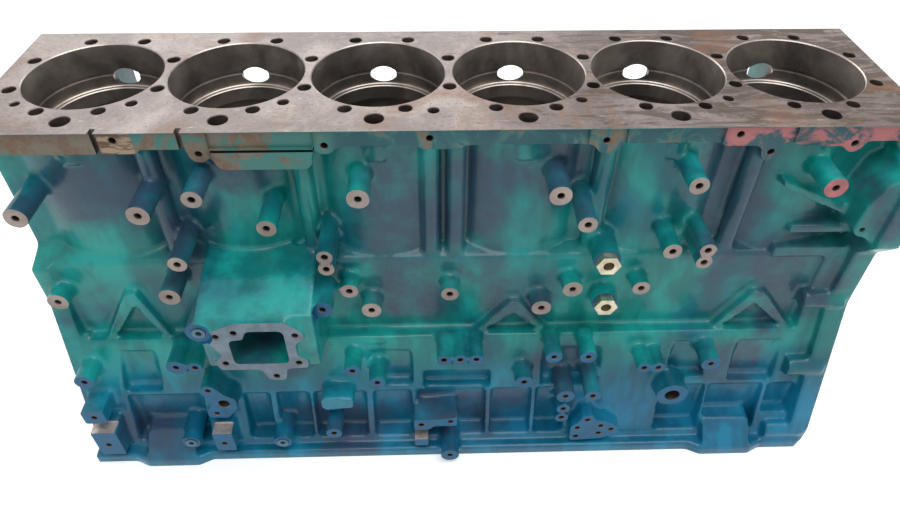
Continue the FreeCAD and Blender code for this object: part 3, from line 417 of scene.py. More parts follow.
def grow_machined_planes(bm):
    """Moves the machined planes outwards, so that rounding the skin leaves enough to cut."""
    faces_near = {UPPER_FACE, MIDDLE_FACE, LOWER_FACE, LOW_PAD_FACE, PORT_FACE, DECK_NEAR, DECK_NEAR + 1,
                  PLATE_FACE}
    faces_near |= {row[4] for row in pad_boxes()} | {row[3] for row in tapped_bosses()}
    faces_near |= {row[3] for row in plugged_bosses()}
    close = 0.02 * MM
    for vertex in bm.verts:
        place = vertex.co
        if abs(place.z - DECK * MM) < close:
            place.z += STOCK * MM
        if abs(place.z) < close:
            place.z -= STOCK * MM
        if any(abs(place.y + face * MM) < close for face in faces_near):
            place.y -= STOCK * MM
        if abs(place.y - COOLER_FACE * MM) < close:
            place.y += STOCK * MM
        for end in (BODY_END, DECK_END):
            if abs(abs(place.x) - end * MM) < close:
                place.x += math.copysign(STOCK * MM, place.x)


def fill_holes(bm):
    """Closes the bores and holes, which are cut again once the skin is rounded."""
    for number in range(1, CYLINDERS + 1):
        add_rod(bm, (cylinder_axis(number), 0, 0), "+Z", 81.5, BORE_FOOT + 12, DECK + STOCK, steps=48)
        add_rod(bm, (cylinder_axis(number), WATER_HOLE_NEAR, 0), "+Z", 11.5, DECK - 36, DECK + STOCK)
    for number in range(1, BEARINGS + 1):
        middle = bearing_plane(number)
        add_box(bm, (middle - 17, -104, 70), (middle + 17, 104, 112))
        add_rod(bm, (middle, 0, CRANK), "+X", CRANK_BORE + 3, -17, 17, steps=48)
        for side in (-1, 1):
            gap = side * (CAP_REACH + 2)
            add_box(bm, (middle - 17, gap - 4, 0), (middle + 17, gap + 4, 90))
            add_rod(bm, (middle, side * CAP_BOLT_OUT, 0), "+Z", 10.5, 100, 175)
    for x, y in deck_bolts():
        add_rod(bm, (x, y, 0), "+Z", 8.8, DECK - 76, DECK + STOCK)
    for x, height, radius, face, finish in tapped_bosses():
        add_rod(bm, (x, -face, height), "-Y", 5, -26, STOCK)
    for x, height, radius, face, hole in plugged_bosses():
        add_rod(bm, (x, -face, height), "-Y", hole + 1.5, -64, STOCK)
    for x, height in port_holes():
        add_rod(bm, (x, -PORT_FACE, height), "-Y", 5, -18, STOCK)
    for x, height, face, radius in pad_holes():
        add_rod(bm, (x, -face, height), "-Y", radius + 1.5, -27, 0)
    for x, height in edge_holes():
        add_rod(bm, (x, -DECK_NEAR, height), "-Y", 5, -20, STOCK)
    for out, height in end_holes():
        for side in (-1, 1):
            add_rod(bm, (-BODY_END, side * out, height), "-X", 7, -30, STOCK)
            add_rod(bm, (DECK_END, side * out, height), "+X", 7, -30, STOCK)


def cut_faces(bm):
    """The milled planes of deck, rail and flanges, and the wide outer ends of the windows."""
    wide = DECK_END + 20
    add_box(bm, (-wide, -PAST_WALLS, DECK), (wide, PAST_WALLS, DECK + 12), DECK_IRON)
    add_box(bm, (-wide, -PAST_WALLS, -12), (wide, PAST_WALLS, 0), RAW_IRON)
    add_box(bm, (PORT_MIDDLE - 62, -PORT_FACE - PAST_FACE, PORT_HEIGHT - 68),
            (PORT_MIDDLE + 62, -PORT_FACE, PORT_HEIGHT + 50), FLANGE)
    add_box(bm, (-480, COOLER_FACE, 280), (480, COOLER_FACE + PAST_FACE, 478), RAW_IRON)
    for number in range(1, CYLINDERS + 1):
        add_rod(bm, (cylinder_axis(number), 0, WINDOW_HEIGHT - 9), "+Y", 21, 80, 116, RAW_IRON, 32,
                flatten=0.95)


def cut_plugged_bosses(bm):
    """The faces of the bosses that a plug or a union closes."""
    for x, height, radius, face, hole in plugged_bosses():
        add_rod(bm, (x, -face, height), "-Y", radius + 1, 0, 7, BLUE_FACE)


def cut_even_bosses(bm):
    """Every other boss face, because the cutters of neighbours would overlap."""
    for x, height, radius, face, finish in tapped_bosses()[::2]:
        add_rod(bm, (x, -face, height), "-Y", radius + 1, 0, 14, finish)


def cut_odd_bosses(bm):
    """The faces of the bosses between them."""
    for x, height, radius, face, finish in tapped_bosses()[1::2]:
        add_rod(bm, (x, -face, height), "-Y", radius + 1, 0, 14, finish)


def cut_pads(bm):
    """The pads near the rail, and the deck's near edge with its lugs and the plate pad."""
    for left, foot, right, top, face in pad_boxes():
        add_box(bm, (left - 3, -face - PAST_FACE, foot - 3), (right + 3, -face, top + 3), BLUE_FACE)
    two, four, six = (cylinder_axis(number) for number in (2, 4, 6))
    add_box(bm, (two - 8, -PLATE_FACE - PAST_FACE, DECK - 52), (two + 100, -PLATE_FACE, DECK - 21.5),
            WORN_LIP)
    # Left end, right end and drop below the deck, so that no stretch reaches a boss under it.
    stretches = (
        (-DECK_END - PAST_FACE, two - 36, 31), (two - 36, two - 8.5, 44), (two - 8.5, two + 100.5, 21),
        (two + 100.5, four + 63, 32), (four + 63, four + 104, 38), (four + 104, six - 122, 31),
        (six - 122, six - 44, 48), (six - 44, DECK_END - 30, 38))
    for left, right, drop in stretches:
        add_box(bm, (left, -DECK_NEAR - PAST_FACE, DECK - drop), (right - 0.2, -DECK_NEAR, DECK - 0.5),
                WORN_LIP)


def cut_ends(bm):
    """The front end below the deck, and the gear end."""
    add_box(bm, (-DECK_END - 20, -PAST_WALLS, -20), (-BODY_END, PAST_WALLS, DECK - 20), RAW_IRON)
    add_box(bm, (DECK_END, -PAST_WALLS, -20), (DECK_END + 20, PAST_WALLS, DECK + 20), RAW_IRON)


def cut_slots(bm):
    """The gaps in the deck's near edge, and the groove between it and the plate pad, given the dark hole iron
    as painted shade.
    """
    two = cylinder_axis(2)
    for middle in (two - 125.5, two - 37.5):
        add_box(bm, (middle - 3, -DECK_NEAR - PAST_FACE, DECK - 33), (middle + 3, 6 - DECK_NEAR, DECK + 2),
                HOLE_AND_SLOT_SHADE)
    add_box(bm, (two - 9, -PLATE_FACE - PAST_FACE, DECK - 25), (two + 101, 7 - DECK_NEAR, DECK - 21.2), HOLE_AND_SLOT_SHADE)


def cut_deck_end(bm):
    """The front end of the deck, and the bare steps between the pads near the rail."""
    add_box(bm, (-DECK_END - 20, -PAST_WALLS, DECK - 20.5), (-DECK_END, PAST_WALLS, DECK + 20), RAW_IRON)
    for left, foot, right, face in ledges():
        add_box(bm, (left - 4, -face - PAST_FACE, foot - 2.5), (right + 4, 18 - face, foot + 7), STEP)


def bore_section():
    """Radius and height down a liner bore: mouth, top bore, groove, ledge, jacket and lower seat."""
    return [
        (0, DECK + 6), (79.2, DECK + 6), (79.2, DECK), (78, DECK - 1.2), (78, DECK - 37), (80, DECK - 37),
        (80, DECK - 42), (78, DECK - 42), (78, DECK - 56), (77, DECK - 57), (73, DECK - 57),
        (72, DECK - 58), (72, DECK - 75), (80, DECK - 75), (80, JACKET_FOOT), (71, JACKET_FOOT),
        (70, JACKET_FOOT - 1), (70, BORE_FOOT), (0, BORE_FOOT)]


def cut_bores(bm):
    """The liner bores, the crank tunnel and every drilled hole."""
    for number in range(1, CYLINDERS + 1):
        middle = cylinder_axis(number)
        add_turned(bm, (middle, 0, 0), "+Z", bore_section(), BORE_IRON, 72)
        add_drill(bm, (middle, WATER_HOLE_NEAR, DECK), "+Z", 10.5, 32)
    add_rod(bm, (0, 0, CRANK), "+X", CRANK_BORE, -DECK_END - 10, DECK_END + 10, BORE_IRON, 56)
    for number in range(1, BEARINGS + 1):
        for side in (-1, 1):
            add_rod(bm, (bearing_plane(number), side * CAP_BOLT_OUT, 0), "+Z", 9, 100, 170, HOLE_AND_SLOT_SHADE)
    for x, y in deck_bolts():
        add_drill(bm, (x, y, DECK), "+Z", 7.5, 70)
    tapped = bpy.context.scene.block_sizes.tapped_radius / MM
    for x, height, radius, face, finish in tapped_bosses():
        add_drill(bm, (x, -face, height), "-Y", tapped, 22)
    for x, height, radius, face, hole in plugged_bosses():
        add_rod(bm, (x, -face, height), "-Y", hole, -58 if hole > 10 else -18, 3, HOLE_AND_SLOT_SHADE)
    for x, height in port_holes():
        add_drill(bm, (x, -PORT_FACE, height), "-Y", tapped, 15)
    for x, height in edge_holes():
        add_drill(bm, (x, -DECK_NEAR, height), "-Y", tapped, 14)
    for x, y, radius in dowel_holes():
        add_drill(bm, (x, y, DECK), "+Z", radius, 40)
    for x, height, face, radius in pad_holes():
        add_drill(bm, (x, -face, height), "-Y", radius, 20)
    for out, height in end_holes():
        for side in (-1, 1):
            add_drill(bm, (-BODY_END, side * out, height), "-X", 5.5, 26)
            add_drill(bm, (DECK_END, side * out, height), "+X", 5.5, 26)


def cut_registers(bm):
    """The seats of the bearing caps and the windows between the bores and the cooler."""
    for number in range(1, BEARINGS + 1):
        middle = bearing_plane(number)
        # The seats of the two end caps are narrower outwards, where the end faces are near.
        reach_left = 14 if number == 1 else 24
        reach_right = 23 if number == BEARINGS else 24
        add_box(bm, (middle - reach_left, -CAP_REACH, -2), (middle + reach_right, CAP_REACH, CRANK), RAW_IRON)
    for number in range(1, CYLINDERS + 1):
        middle = cylinder_axis(number)
        add_rod(bm, (middle, 0, WINDOW_HEIGHT), "+Y", 17, 60, 84, BORE_IRON, 32, flatten=0.66)


class BLOCK_OT_casting(bpy.types.Operator):
    """Rounds the casting's skin, then mills its faces and drills its holes"""
    bl_idname = "block.casting"
    bl_label = "Cast and machine the block"

    def execute(self, context):
        sizes = context.scene.block_sizes
        bm = bmesh.new()
        bm.from_mesh(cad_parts["cylinder_block"].data)
        bmesh.ops.remove_doubles(bm, verts=bm.verts, dist=1e-6)
        grow_machined_planes(bm)
        fill_holes(bm)
        block = finished("engine_block", bm, casting_materials(context))
        apply_modifier(block, "REMESH", mode="VOXEL", voxel_size=sizes.voxel)
        apply_modifier(block, "SMOOTH", factor=0.5, iterations=sizes.softening)
        apply_modifier(block, "DECIMATE", decimate_type="COLLAPSE", ratio=sizes.faces)
        for name, fill in (("faces", cut_faces), ("plugged_bosses", cut_plugged_bosses),
                           ("even_bosses", cut_even_bosses), ("odd_bosses", cut_odd_bosses),
                           ("pads", cut_pads), ("ends", cut_ends), ("slots", cut_slots),
                           ("deck_end", cut_deck_end), ("bores", cut_bores), ("registers", cut_registers)):
            cut_away(block, "cutter_" + name, fill)
        block.data.shade_smooth()
        block.data.set_sharp_from_angle(angle=math.radians(38))
        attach(block, "root")
        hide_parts("cylinder_block")
        return {"FINISHED"}


# ---------------------------------------------------------------- materials

def new_material(name):
    """An empty material with nodes."""
    material = bpy.data.materials.new(name)
    material.use_nodes = True
    material.node_tree.nodes.clear()
    return material


class Tree:
    """A short way to add and join nodes."""

    def __init__(self, tree):
        self.tree = tree

    def add(self, kind, inputs=None, **settings):
        node = self.tree.nodes.new(kind)
        for key, value in settings.items():
            setattr(node, key, value)
        for key, value in (inputs or {}).items():
            self.feed(node.inputs[key], value)
        return node

    def feed(self, socket, value):
        if isinstance(value, bpy.types.NodeSocket):
            self.tree.links.new(value, socket)
        else:
            socket.default_value = value

    def place(self):
        """The Object coordinates."""
        return self.add("ShaderNodeTexCoord").outputs["Object"]

    def stretch(self, vector, scale):
        """Coordinates whose patterns are drawn out along the axes with a low scale."""
        return self.add("ShaderNodeMapping", {"Vector": vector, "Scale": scale}).outputs["Vector"]

    def noise(self, vector, scale, detail=4.0, roughness=0.55, distortion=0.0):
        node = self.add("ShaderNodeTexNoise", {"Vector": vector, "Scale": scale, "Detail": detail,
                                               "Roughness": roughness, "Distortion": distortion})
        return node.outputs["Fac"]

    def math(self, operation, first, second=0.0, clamp=False):
        node = self.add("ShaderNodeMath", {0: first, 1: second}, operation=operation, use_clamp=clamp)
        return node.outputs[0]

    def step(self, value, low, high, bottom=0.0, top=1.0):
        """A smooth rise from bottom to top while the value goes from low to high."""
        node = self.add("ShaderNodeMapRange", {
            "Value": value, "From Min": low, "From Max": high, "To Min": bottom, "To Max": top},
            interpolation_type="SMOOTHSTEP")
        return node.outputs["Result"]

    def mix(self, amount, first, second, blend="MIX"):
        """Goes from the first colour to the second as the amount grows."""
        node = self.add("ShaderNodeMix", data_type="RGBA", blend_type=blend)
        for socket, value in ((node.inputs[0], amount), (node.inputs[6], first), (node.inputs[7], second)):
            self.feed(socket, value)
        return node.outputs[2]


def colour4(colour, strength=1.0):
    """A colour with its alpha, made darker or lighter by its strength."""
    return (*(min(1.0, strength * part) for part in colour), 1.0)


def new_group(name, inputs, outputs):
    """A node group with its sockets: each input's name, kind and value, each output's name and kind."""
    tree = bpy.data.node_groups.new(name, "ShaderNodeTree")
    for label, kind, value in inputs:
        socket = tree.interface.new_socket(name=label, in_out="INPUT", socket_type=kind)
        socket.default_value = value
    for label, kind in outputs:
        tree.interface.new_socket(name=label, in_out="OUTPUT", socket_type=kind)
    return Tree(tree), tree.nodes.new("NodeGroupInput"), tree.nodes.new("NodeGroupOutput")


FLOAT = "NodeSocketFloat"


def rust_group():
    """Stains: a mask of blotches and specks that grows with Amount."""
    tree, ins, outs = new_group("rust_stains", [("Amount", FLOAT, 0.5), ("Scale", FLOAT, 9.0)],
                                [("Mask", FLOAT)])
    place = tree.place()
    broad = tree.noise(place, ins.outputs["Scale"], 6.0, 0.62, 0.6)
    fine = tree.noise(place, 140.0, 5.0, 0.7)
    blend = tree.math("ADD", tree.math("MULTIPLY", broad, 0.75), tree.math("MULTIPLY", fine, 0.25))
    limit = tree.math("SUBTRACT", 0.74, tree.math("MULTIPLY", ins.outputs["Amount"], 0.32))
    mask = tree.math("MULTIPLY", tree.math("SUBTRACT", blend, limit), 9.0, clamp=True)
    tree.feed(outs.inputs["Mask"], mask)
    return tree.tree


def cast_grain_group():
    """The height of a sand-cast skin."""
    tree, ins, outs = new_group("cast_grain", [("Strength", FLOAT, 1.0)], [("Height", FLOAT)])
    place = tree.place()
    coarse = tree.noise(place, 55.0, 3.0, 0.6)
    fine = tree.noise(place, 420.0, 3.0, 0.6)
    height = tree.math("ADD", coarse, tree.math("MULTIPLY", fine, 0.35))
    tree.feed(outs.inputs["Height"], tree.math("MULTIPLY", height, ins.outputs["Strength"]))
    return tree.tree


def edge_group():
    """A mask of convex edges, where handling wears the paint."""
    tree, ins, outs = new_group("edge_wear", [("Amount", FLOAT, 0.5)], [("Mask", FLOAT)])
    place = tree.place()
    bend = tree.add("ShaderNodeNewGeometry").outputs["Pointiness"]
    chips = tree.noise(place, 90.0, 6.0, 0.7)
    edge = tree.step(bend, 0.53, 0.60)
    mask = tree.math("MULTIPLY", edge, tree.step(chips, 0.48, 0.62))
    tree.feed(outs.inputs["Mask"], tree.math("MULTIPLY", mask, ins.outputs["Amount"]))
    return tree.tree


GROUPS = {}


def group(name):
    """A shared node group, built when it is first asked for."""
    makers = {"rust_stains": rust_group, "cast_grain": cast_grain_group, "edge_wear": edge_group,
              "spray_and_port_shade_mask": spray_and_port_shade_group}
    if name not in GROUPS:
        GROUPS[name] = makers[name]()
    return GROUPS[name]


def use_group(tree, name, **inputs):
    """Places a shared group with its own values, and gives what it puts out."""
    node = tree.add("ShaderNodeGroup", node_tree=group(name))
    for key, value in inputs.items():
        tree.feed(node.inputs[key], value)
    return node.outputs[0]


def finish_material(tree, colour, roughness, metallic, height, bump, depth, **plain):
    """The material's own shader, with a bump of the height's depth in metres."""
    shader = tree.add("ShaderNodeBsdfPrincipled", {"Base Color": colour, "Roughness": roughness,
                                                   "Metallic": metallic})
    for key, value in plain.items():
        shader.inputs[key.replace("_", " ")].default_value = value
    normal = tree.add("ShaderNodeBump", {"Strength": bump, "Distance": depth, "Height": height})
    tree.feed(shader.inputs["Normal"], normal.outputs["Normal"])
    output = tree.add("ShaderNodeOutputMaterial")
    tree.feed(output.inputs["Surface"], shader.outputs["BSDF"])


def spray_and_port_shade_patches():
    """Where dark sprayed paint drifted over the near side, with one patch at X -230, height 262 that is
    painted shade inside the port's opening: X, height and the reach of each patch both ways.
    """
    return (
        (-60, 390, 46, 110), (20, 395, 62, 105), (-62, 256, 60, 52), (95, 250, 55, 40), (-350, 425, 40, 62),
        (-420, 420, 44, 46), (332, 400, 50, 110), (440, 290, 66, 100), (500, 410, 34, 44),
        # The patch at (-230, 262) is painted shade inside the port's opening.
        (-326, 330, 30, 60), (120, 440, 40, 50), (-230, 262, 36, 32), (30, 62, 86, 46), (-155, 40, 70, 40),
        (-215, 175, 40, 36), (-440, 45, 60, 34), (150, 150, 50, 30), (390, 140, 46, 40), (-240, 446, 46, 26))


def spray_and_port_shade_group():
    """A mask of the patches of dark sprayed paint and of the painted shade inside the port, with ragged soft
    edges.
    """
    tree, ins, outs = new_group("spray_and_port_shade_mask", [("Ragged", FLOAT, 0.5)], [("Mask", FLOAT)])
    place = tree.place()
    edge = tree.noise(place, 13.0, 4.0, 0.6, 0.5)
    swing = tree.math("MULTIPLY", tree.math("SUBTRACT", edge, 0.5), ins.outputs["Ragged"])
    mask = None
    for x, height, wide, tall in spray_and_port_shade_patches():
        turn = tree.add("ShaderNodeMapping", {
            "Vector": place, "Location": (-x / wide, 0, -height / tall),
            "Scale": (1000 / wide, 0, 1000 / tall)})
        length = tree.add("ShaderNodeVectorMath", {0: turn.outputs["Vector"]}, operation="LENGTH")
        reach = length.outputs["Value"]
        patch = tree.step(tree.math("ADD", reach, tree.math("MULTIPLY", swing, 4.0)), 1.35, 0.55)
        mask = patch if mask is None else tree.math("MAXIMUM", mask, patch)
    tree.feed(outs.inputs["Mask"], mask)
    return tree.tree


def block_paint(colours):
    """Worn gloss paint over the cast skin, with dark sprayed paint, rust, painted highlights along the runs
    and painted shade inside the port.
    """
    material = new_material("block_paint")
    tree = Tree(material.node_tree)
    place = tree.place()
    height = tree.add("ShaderNodeSeparateXYZ", {"Vector": place}).outputs["Z"]
    drift = tree.noise(place, 5.5, 3.0, 0.55, 0.8)
    runs_and_highlight_streaks = tree.stretch(place, (1.0, 1.0, 0.35))
    soft = tree.noise(runs_and_highlight_streaks, 24.0, 3.0, 0.6)
    deep = tree.step(tree.math("ADD", height, tree.math("MULTIPLY", drift, 0.10)), 0.235, 0.13)
    tint = tree.mix(tree.step(drift, 0.42, 0.62), colour4(colours.paint), colour4(colours.shadow))
    colour = tree.mix(tree.math("MULTIPLY", deep, 0.85), tint, colour4(colours.deep))
    # Streaks along the paint's runs, darker and lighter: the lighter ones are painted highlight.
    light = tree.mix(tree.step(soft, 0.38, 0.66), (0.72, 0.74, 0.78, 1), (1.3, 1.3, 1.3, 1))
    colour = tree.mix(1.0, colour, light, "MULTIPLY")
    # Dark sprayed paint, and painted shade inside the port's opening.
    spray_and_shade = use_group(tree, "spray_and_port_shade_mask", Ragged=0.55)
    specks = tree.step(tree.noise(place, 38.0, 4.0, 0.65), 0.25, 0.75, 0.55, 1.0)
    colour = tree.mix(tree.math("MULTIPLY", tree.math("MULTIPLY", spray_and_shade, specks), 0.95), colour,
                      colour4(colours.spray_and_port_shade))
    rust = use_group(tree, "rust_stains", Amount=0.12, Scale=14.0)
    worn = use_group(tree, "edge_wear", Amount=0.5)
    colour = tree.mix(tree.math("MULTIPLY", rust, 0.6), colour, colour4(colours.rust))
    colour = tree.mix(worn, colour, colour4(colours.bare))
    rough = tree.step(soft, 0.3, 0.7, 0.26, 0.42)
    grain = use_group(tree, "cast_grain", Strength=1.0)
    finish_material(tree, colour, rough, 0.0, grain, 0.5, 0.0014, Specular_IOR_Level=0.32, Coat_Weight=0.22,
                    Coat_Roughness=0.1)
    return material


def worn_lip(colours):
    """The deck's near edge: paint worn to rusty iron at the front end, and to primer at the gear end."""
    material = new_material("worn_lip")
    tree = Tree(material.node_tree)
    place = tree.place()
    across = tree.add("ShaderNodeSeparateXYZ", {"Vector": place}).outputs["X"]
    patches = tree.noise(place, 22.0, 6.0, 0.7, 0.6)
    front = tree.step(across, -0.14, -0.30)
    gone = tree.step(tree.math("ADD", patches, tree.math("MULTIPLY", front, 0.17)), 0.52, 0.62)
    rusty = tree.mix(tree.step(tree.noise(place, 60.0, 5.0, 0.7), 0.4, 0.65), (0.20, 0.15, 0.11, 1),
                     colour4(colours.rust))
    kept = tree.mix(tree.step(patches, 0.46, 0.60), (0.012, 0.085, 0.105, 1), (0.020, 0.190, 0.180, 1))
    kept = tree.mix(tree.step(across, -0.138, -0.118), colour4(colours.worn), kept)
    colour = tree.mix(tree.math("MULTIPLY", gone, 0.85), kept, rusty)
    bared = tree.math("MULTIPLY", tree.step(across, -0.372, -0.368), tree.step(across, -0.333, -0.337))
    drawn = tree.stretch(place, (0.35, 1.0, 1.6))
    grained = tree.mix(tree.step(tree.noise(drawn, 95.0, 5.0, 0.7), 0.44, 0.56), (0.38, 0.27, 0.18, 1),
                       (0.10, 0.045, 0.02, 1))
    colour = tree.mix(bared, colour, grained)
    gear = tree.step(across, 0.28, 0.30)
    primed = tree.math("MULTIPLY", gear, tree.step(patches, 0.40, 0.50))
    colour = tree.mix(tree.math("MULTIPLY", primed, 0.9), colour, colour4(colours.primer))
    finish_material(tree, colour, 0.45, 0.0, patches, 0.25, 0.0006)
    return material


def deck_iron(colours):
    """The milled deck: greasy stains that grow towards the gear end, rust spots and fine scratches."""
    material = new_material("machined_deck")
    tree = Tree(material.node_tree)
    base = tuple(colours.iron)
    place = tree.place()
    across = tree.add("ShaderNodeSeparateXYZ", {"Vector": place}).outputs["X"]
    blotch = tree.noise(place, 9.0, 9.0, 0.72, 0.5)
    marks = tree.stretch(place, (0.22, 1.0, 1.0))
    streaks = tree.noise(marks, 52.0, 8.0, 0.72, 1.2)
    colour = tree.mix(tree.step(blotch, 0.38, 0.64), colour4(base, 0.66), colour4(base, 1.25))
    grease = tree.math("ADD", streaks, tree.step(across, -0.2, 0.5, -0.10, 0.10))
    colour = tree.mix(tree.step(grease, 0.515, 0.61, 0.0, 0.76), colour, (0.070, 0.042, 0.029, 1))
    specks = tree.step(tree.noise(place, 240.0, 4.0, 0.75), 0.55, 0.64, 0.0, 0.62)
    colour = tree.mix(specks, colour, (0.085, 0.055, 0.040, 1))
    scratches = tree.step(tree.noise(marks, 260.0, 3.0, 0.6), 0.64, 0.70, 0.0, 0.5)
    colour = tree.mix(scratches, colour, (0.52, 0.45, 0.40, 1))
    stains = use_group(tree, "rust_stains", Amount=0.70, Scale=10.0)
    colour = tree.mix(tree.math("MULTIPLY", stains, 0.80), colour, colour4(colours.rust))
    roughness = tree.step(grease, 0.4, 0.7, 0.40, 0.58)
    metal = tree.math("SUBTRACT", 0.40, tree.math("MULTIPLY", stains, 0.4), clamp=True)
    finish_material(tree, colour, roughness, metal, streaks, 0.25, 0.0004)
    return material


def machined_iron(name, base, rust, stain, rough, streak):
    """Bare machined iron with stains; streak gives the tool marks' direction."""
    material = new_material(name)
    tree = Tree(material.node_tree)
    place = tree.place()
    blotch = tree.noise(place, 11.0, 8.0, 0.7, 0.4)
    marks = tree.stretch(place, streak)
    lines = tree.noise(marks, 60.0, 4.0, 0.6)
    colour = tree.mix(tree.step(blotch, 0.35, 0.68), colour4(base, 0.62), colour4(base, 1.2))
    stains = use_group(tree, "rust_stains", Amount=stain, Scale=16.0)
    colour = tree.mix(tree.math("MULTIPLY", stains, 0.75), colour, colour4(rust))
    roughness = tree.math("ADD", tree.step(blotch, 0.3, 0.7, rough, rough + 0.18),
                          tree.math("MULTIPLY", stains, 0.25), clamp=True)
    metal = tree.math("SUBTRACT", 0.85, tree.math("MULTIPLY", stains, 0.7), clamp=True)
    finish_material(tree, colour, roughness, metal, lines, 0.2, 0.0003)
    return material


def plain_metal(name, colour, roughness, metallic=0.9, stain=0.1):
    """Metal of one colour with a light stain, or a thin coat of paint where it is less metallic."""
    material = new_material(name)
    tree = Tree(material.node_tree)
    place = tree.place()
    shade = tree.noise(place, 60.0, 5.0, 0.65)
    mixed = tree.mix(tree.step(shade, 0.35, 0.7), colour4(colour, 0.7), colour4(colour, 1.15))
    stains = use_group(tree, "rust_stains", Amount=stain, Scale=30.0)
    mixed = tree.mix(tree.math("MULTIPLY", stains, 0.6), mixed, (0.12, 0.055, 0.025, 1))
    sheen = tree.step(shade, 0.3, 0.7, roughness, roughness + 0.15)
    finish_material(tree, mixed, sheen, metallic, shade, 0.15, 0.0003)
    return material


def casting_materials(context):
    """The casting's materials, in the order of their places."""
    colours = context.scene.block_colours
    rust = tuple(colours.rust)
    bore = machined_iron("honed_bore", tuple(colours.bore), rust, 0.25, 0.26, (1.0, 1.0, 6.0))
    bare = machined_iron("bare_face", tuple(colours.bare), rust, 0.3, 0.42, (1.0, 1.0, 1.0))
    # Dark iron of the drilled holes; in the slots and the groove of the deck's near edge it is painted shade.
    hole = plain_metal("hole_iron_and_slot_shade", (0.16, 0.13, 0.115), 0.45)
    blue = plain_metal("painted_face", (0.004, 0.120, 0.250), 0.45, 0.1)
    raw = machined_iron("raw_iron", (0.22, 0.2, 0.185), rust, 0.45, 0.5, (1.0, 1.0, 1.0))
    step = plain_metal("bare_step", (0.62, 0.53, 0.49), 0.3, 0.6)
    flange = plain_metal("flange_face", (0.17, 0.225, 0.275), 0.42, 0.35)
    pink = plain_metal("primed_face", tuple(colours.primer), 0.45, 0.0)
    return [block_paint(colours), deck_iron(colours), bore, bare, hole, blue, raw, worn_lip(colours),
            step, pink, flange]


class BLOCK_OT_small_parts(bpy.types.Operator):
    """Gives the caps, bolts, unions and plugs their metals"""
    bl_idname = "block.small_parts"
    bl_label = "Finish the small parts"

    def execute(self, context):
        cap = machined_iron("cap_iron", (0.24, 0.22, 0.2), tuple(context.scene.block_colours.rust), 0.3, 0.45,
                            (1.0, 1.0, 1.0))
        bolt = plain_metal("bolt_steel", (0.07, 0.07, 0.075), 0.45)
        union = plain_metal("union_steel", (0.66, 0.60, 0.44), 0.22)
        plug = plain_metal("plug_steel", (0.10, 0.19, 0.26), 0.4, 0.5)
        wanted = (("main_cap_bolt", bolt), ("main_cap", cap), ("hose_union", union), ("side_plugs", plug),
                  ("gallery_plugs", plug))
        for name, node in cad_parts.items():
            for start, material in wanted:
                if name.startswith(start):
                    node.data.materials.clear()
                    node.data.materials.append(material)
                    break
        return {"FINISHED"}


# ---------------------------------------------------------------- the stage

def backdrop_material(colour):
    """A pale surface that shows as plain white to the camera and in reflections."""
    material = new_material("pale_backdrop")
    tree = Tree(material.node_tree)
    rays = tree.add("ShaderNodeLightPath")
    seen = tree.math("MAXIMUM", rays.outputs["Is Camera Ray"], rays.outputs["Is Glossy Ray"])
    seen = tree.math("MAXIMUM", seen, rays.outputs["Is Transmission Ray"])
    matt = tree.add("ShaderNodeBsdfDiffuse", {"Color": colour4(colour)})
    output = tree.add("ShaderNodeOutputMaterial")
    glow = tree.add("ShaderNodeEmission", {"Color": (1, 1, 1, 1), "Strength": 0.35})
    both = tree.add("ShaderNodeAddShader")
    tree.feed(both.inputs[0], matt.outputs[0])
    tree.feed(both.inputs[1], glow.outputs[0])
    blend = tree.add("ShaderNodeMixShader", {"Fac": seen})
    tree.feed(blend.inputs[1], matt.outputs[0])
    tree.feed(blend.inputs[2], both.outputs[0])
    tree.feed(output.inputs["Surface"], blend.outputs[0])
    return material


def add_lamp(name, place, target, size, power):
    """A soft white lamp that faces a target."""
    data = bpy.data.lights.new(name, "AREA")
    data.shape = "RECTANGLE"
    data.size, data.size_y = size
    data.energy = power
    lamp = bpy.data.objects.new(name, data)
    lamp.location = place
    lamp.rotation_euler = (Vector(target) - Vector(place)).to_track_quat("-Z", "Y").to_euler()
    bpy.context.scene.collection.objects.link(lamp)


def add_camera():
    """The camera, above the near side."""
    data = bpy.data.cameras.new("camera")
    data.sensor_width = 36
    data.lens = 27.32
    data.clip_end = 50
    camera = bpy.data.objects.new("camera", data)
    camera.location = (-0.02212, -0.73672, 0.8946)
    camera.rotation_euler = [math.radians(angle) for angle in (47.43, -0.361, -1.639)]
    bpy.context.scene.collection.objects.link(camera)
    bpy.context.scene.camera = camera


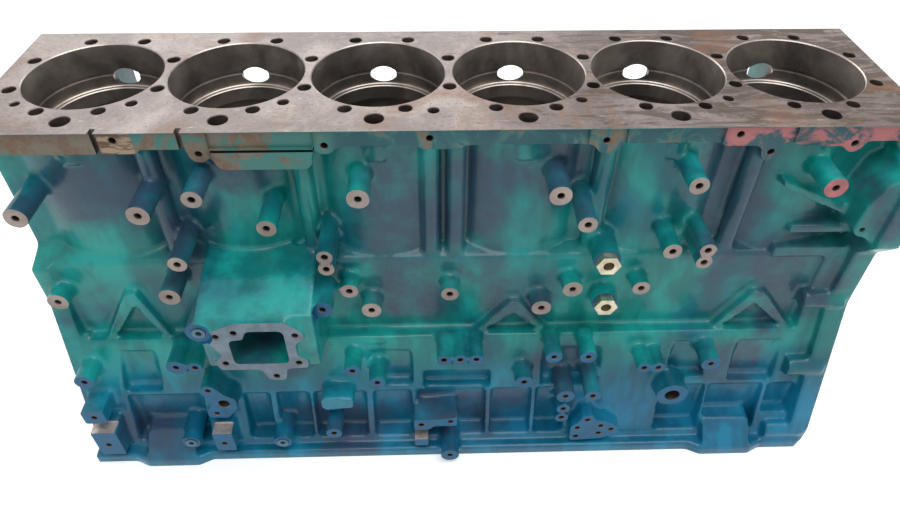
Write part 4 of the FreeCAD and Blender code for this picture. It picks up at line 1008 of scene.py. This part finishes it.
class BLOCK_OT_stage(bpy.types.Operator):
    """Adds the pale floor, the soft lamps, the sky and the camera"""
    bl_idname = "block.stage"
    bl_label = "Set the stage"

    def execute(self, context):
        settings = context.scene.block_stage
        bm = bmesh.new()
        bmesh.ops.create_grid(bm, x_segments=1, y_segments=1, size=6)
        floor = finished("floor", bm, [backdrop_material(settings.floor)])
        world = bpy.data.worlds.new("soft_sky")
        context.scene.world = world
        world.use_nodes = True
        world.node_tree.nodes.clear()
        tree = Tree(world.node_tree)
        rays = tree.add("ShaderNodeLightPath")
        seen = tree.math("MAXIMUM", rays.outputs["Is Camera Ray"], rays.outputs["Is Transmission Ray"])
        seen = tree.math("MAXIMUM", seen, rays.outputs["Is Glossy Ray"])
        strength = tree.step(seen, 0.0, 1.0, 0.52, 1.0)
        sky = tree.add("ShaderNodeBackground", {"Color": (1, 1, 1, 1), "Strength": strength})
        output = tree.add("ShaderNodeOutputWorld")
        tree.feed(output.inputs["Surface"], sky.outputs[0])
        centre = (0, 0, 0.25)
        add_lamp("key_lamp", (0.35, -0.55, 2.3), centre, (2.2, 1.2), settings.key_power)
        add_lamp("back_lamp", (-0.6, 1.8, 1.6), centre, (2.0, 1.0), settings.key_power * 0.6)
        add_camera()
        context.scene.view_settings.view_transform = "Standard"
        return {"FINISHED"}


class BLOCK_PT_panel(bpy.types.Panel):
    """Lists the steps and their settings"""
    bl_label = "Cylinder block"
    bl_idname = "BLOCK_PT_panel"
    bl_space_type = "VIEW_3D"
    bl_region_type = "UI"
    bl_category = "Block"

    def draw(self, context):
        scene = context.scene
        for settings, names in ((scene.block_sizes, ("voxel", "softening", "faces", "tapped_radius")),
                                (scene.block_colours, (
                                    "paint", "shadow", "deep", "spray_and_port_shade", "worn", "primer", "iron", "bore",
                                    "rust", "bare")),
                                (scene.block_stage, ("floor", "key_power"))):
            for name in names:
                self.layout.prop(settings, name)
        for step in STEPS:
            self.layout.operator(step.bl_idname)


STEPS = (BLOCK_OT_casting, BLOCK_OT_small_parts, BLOCK_OT_stage)
CLASSES = (BlockSizes, BlockColours, StageSettings) + STEPS + (BLOCK_PT_panel,)


def register():
    for kind in CLASSES:
        bpy.utils.register_class(kind)
    bpy.types.Scene.block_sizes = bpy.props.PointerProperty(type=BlockSizes)
    bpy.types.Scene.block_colours = bpy.props.PointerProperty(type=BlockColours)
    bpy.types.Scene.block_stage = bpy.props.PointerProperty(type=StageSettings)


def unregister():
    for name in ("block_stage", "block_colours", "block_sizes"):
        delattr(bpy.types.Scene, name)
    for kind in reversed(CLASSES):
        bpy.utils.unregister_class(kind)


def main():
    register()
    bpy.ops.block.casting()
    bpy.ops.block.small_parts()
    bpy.ops.block.stage()


if __name__ == "__main__":
    main()
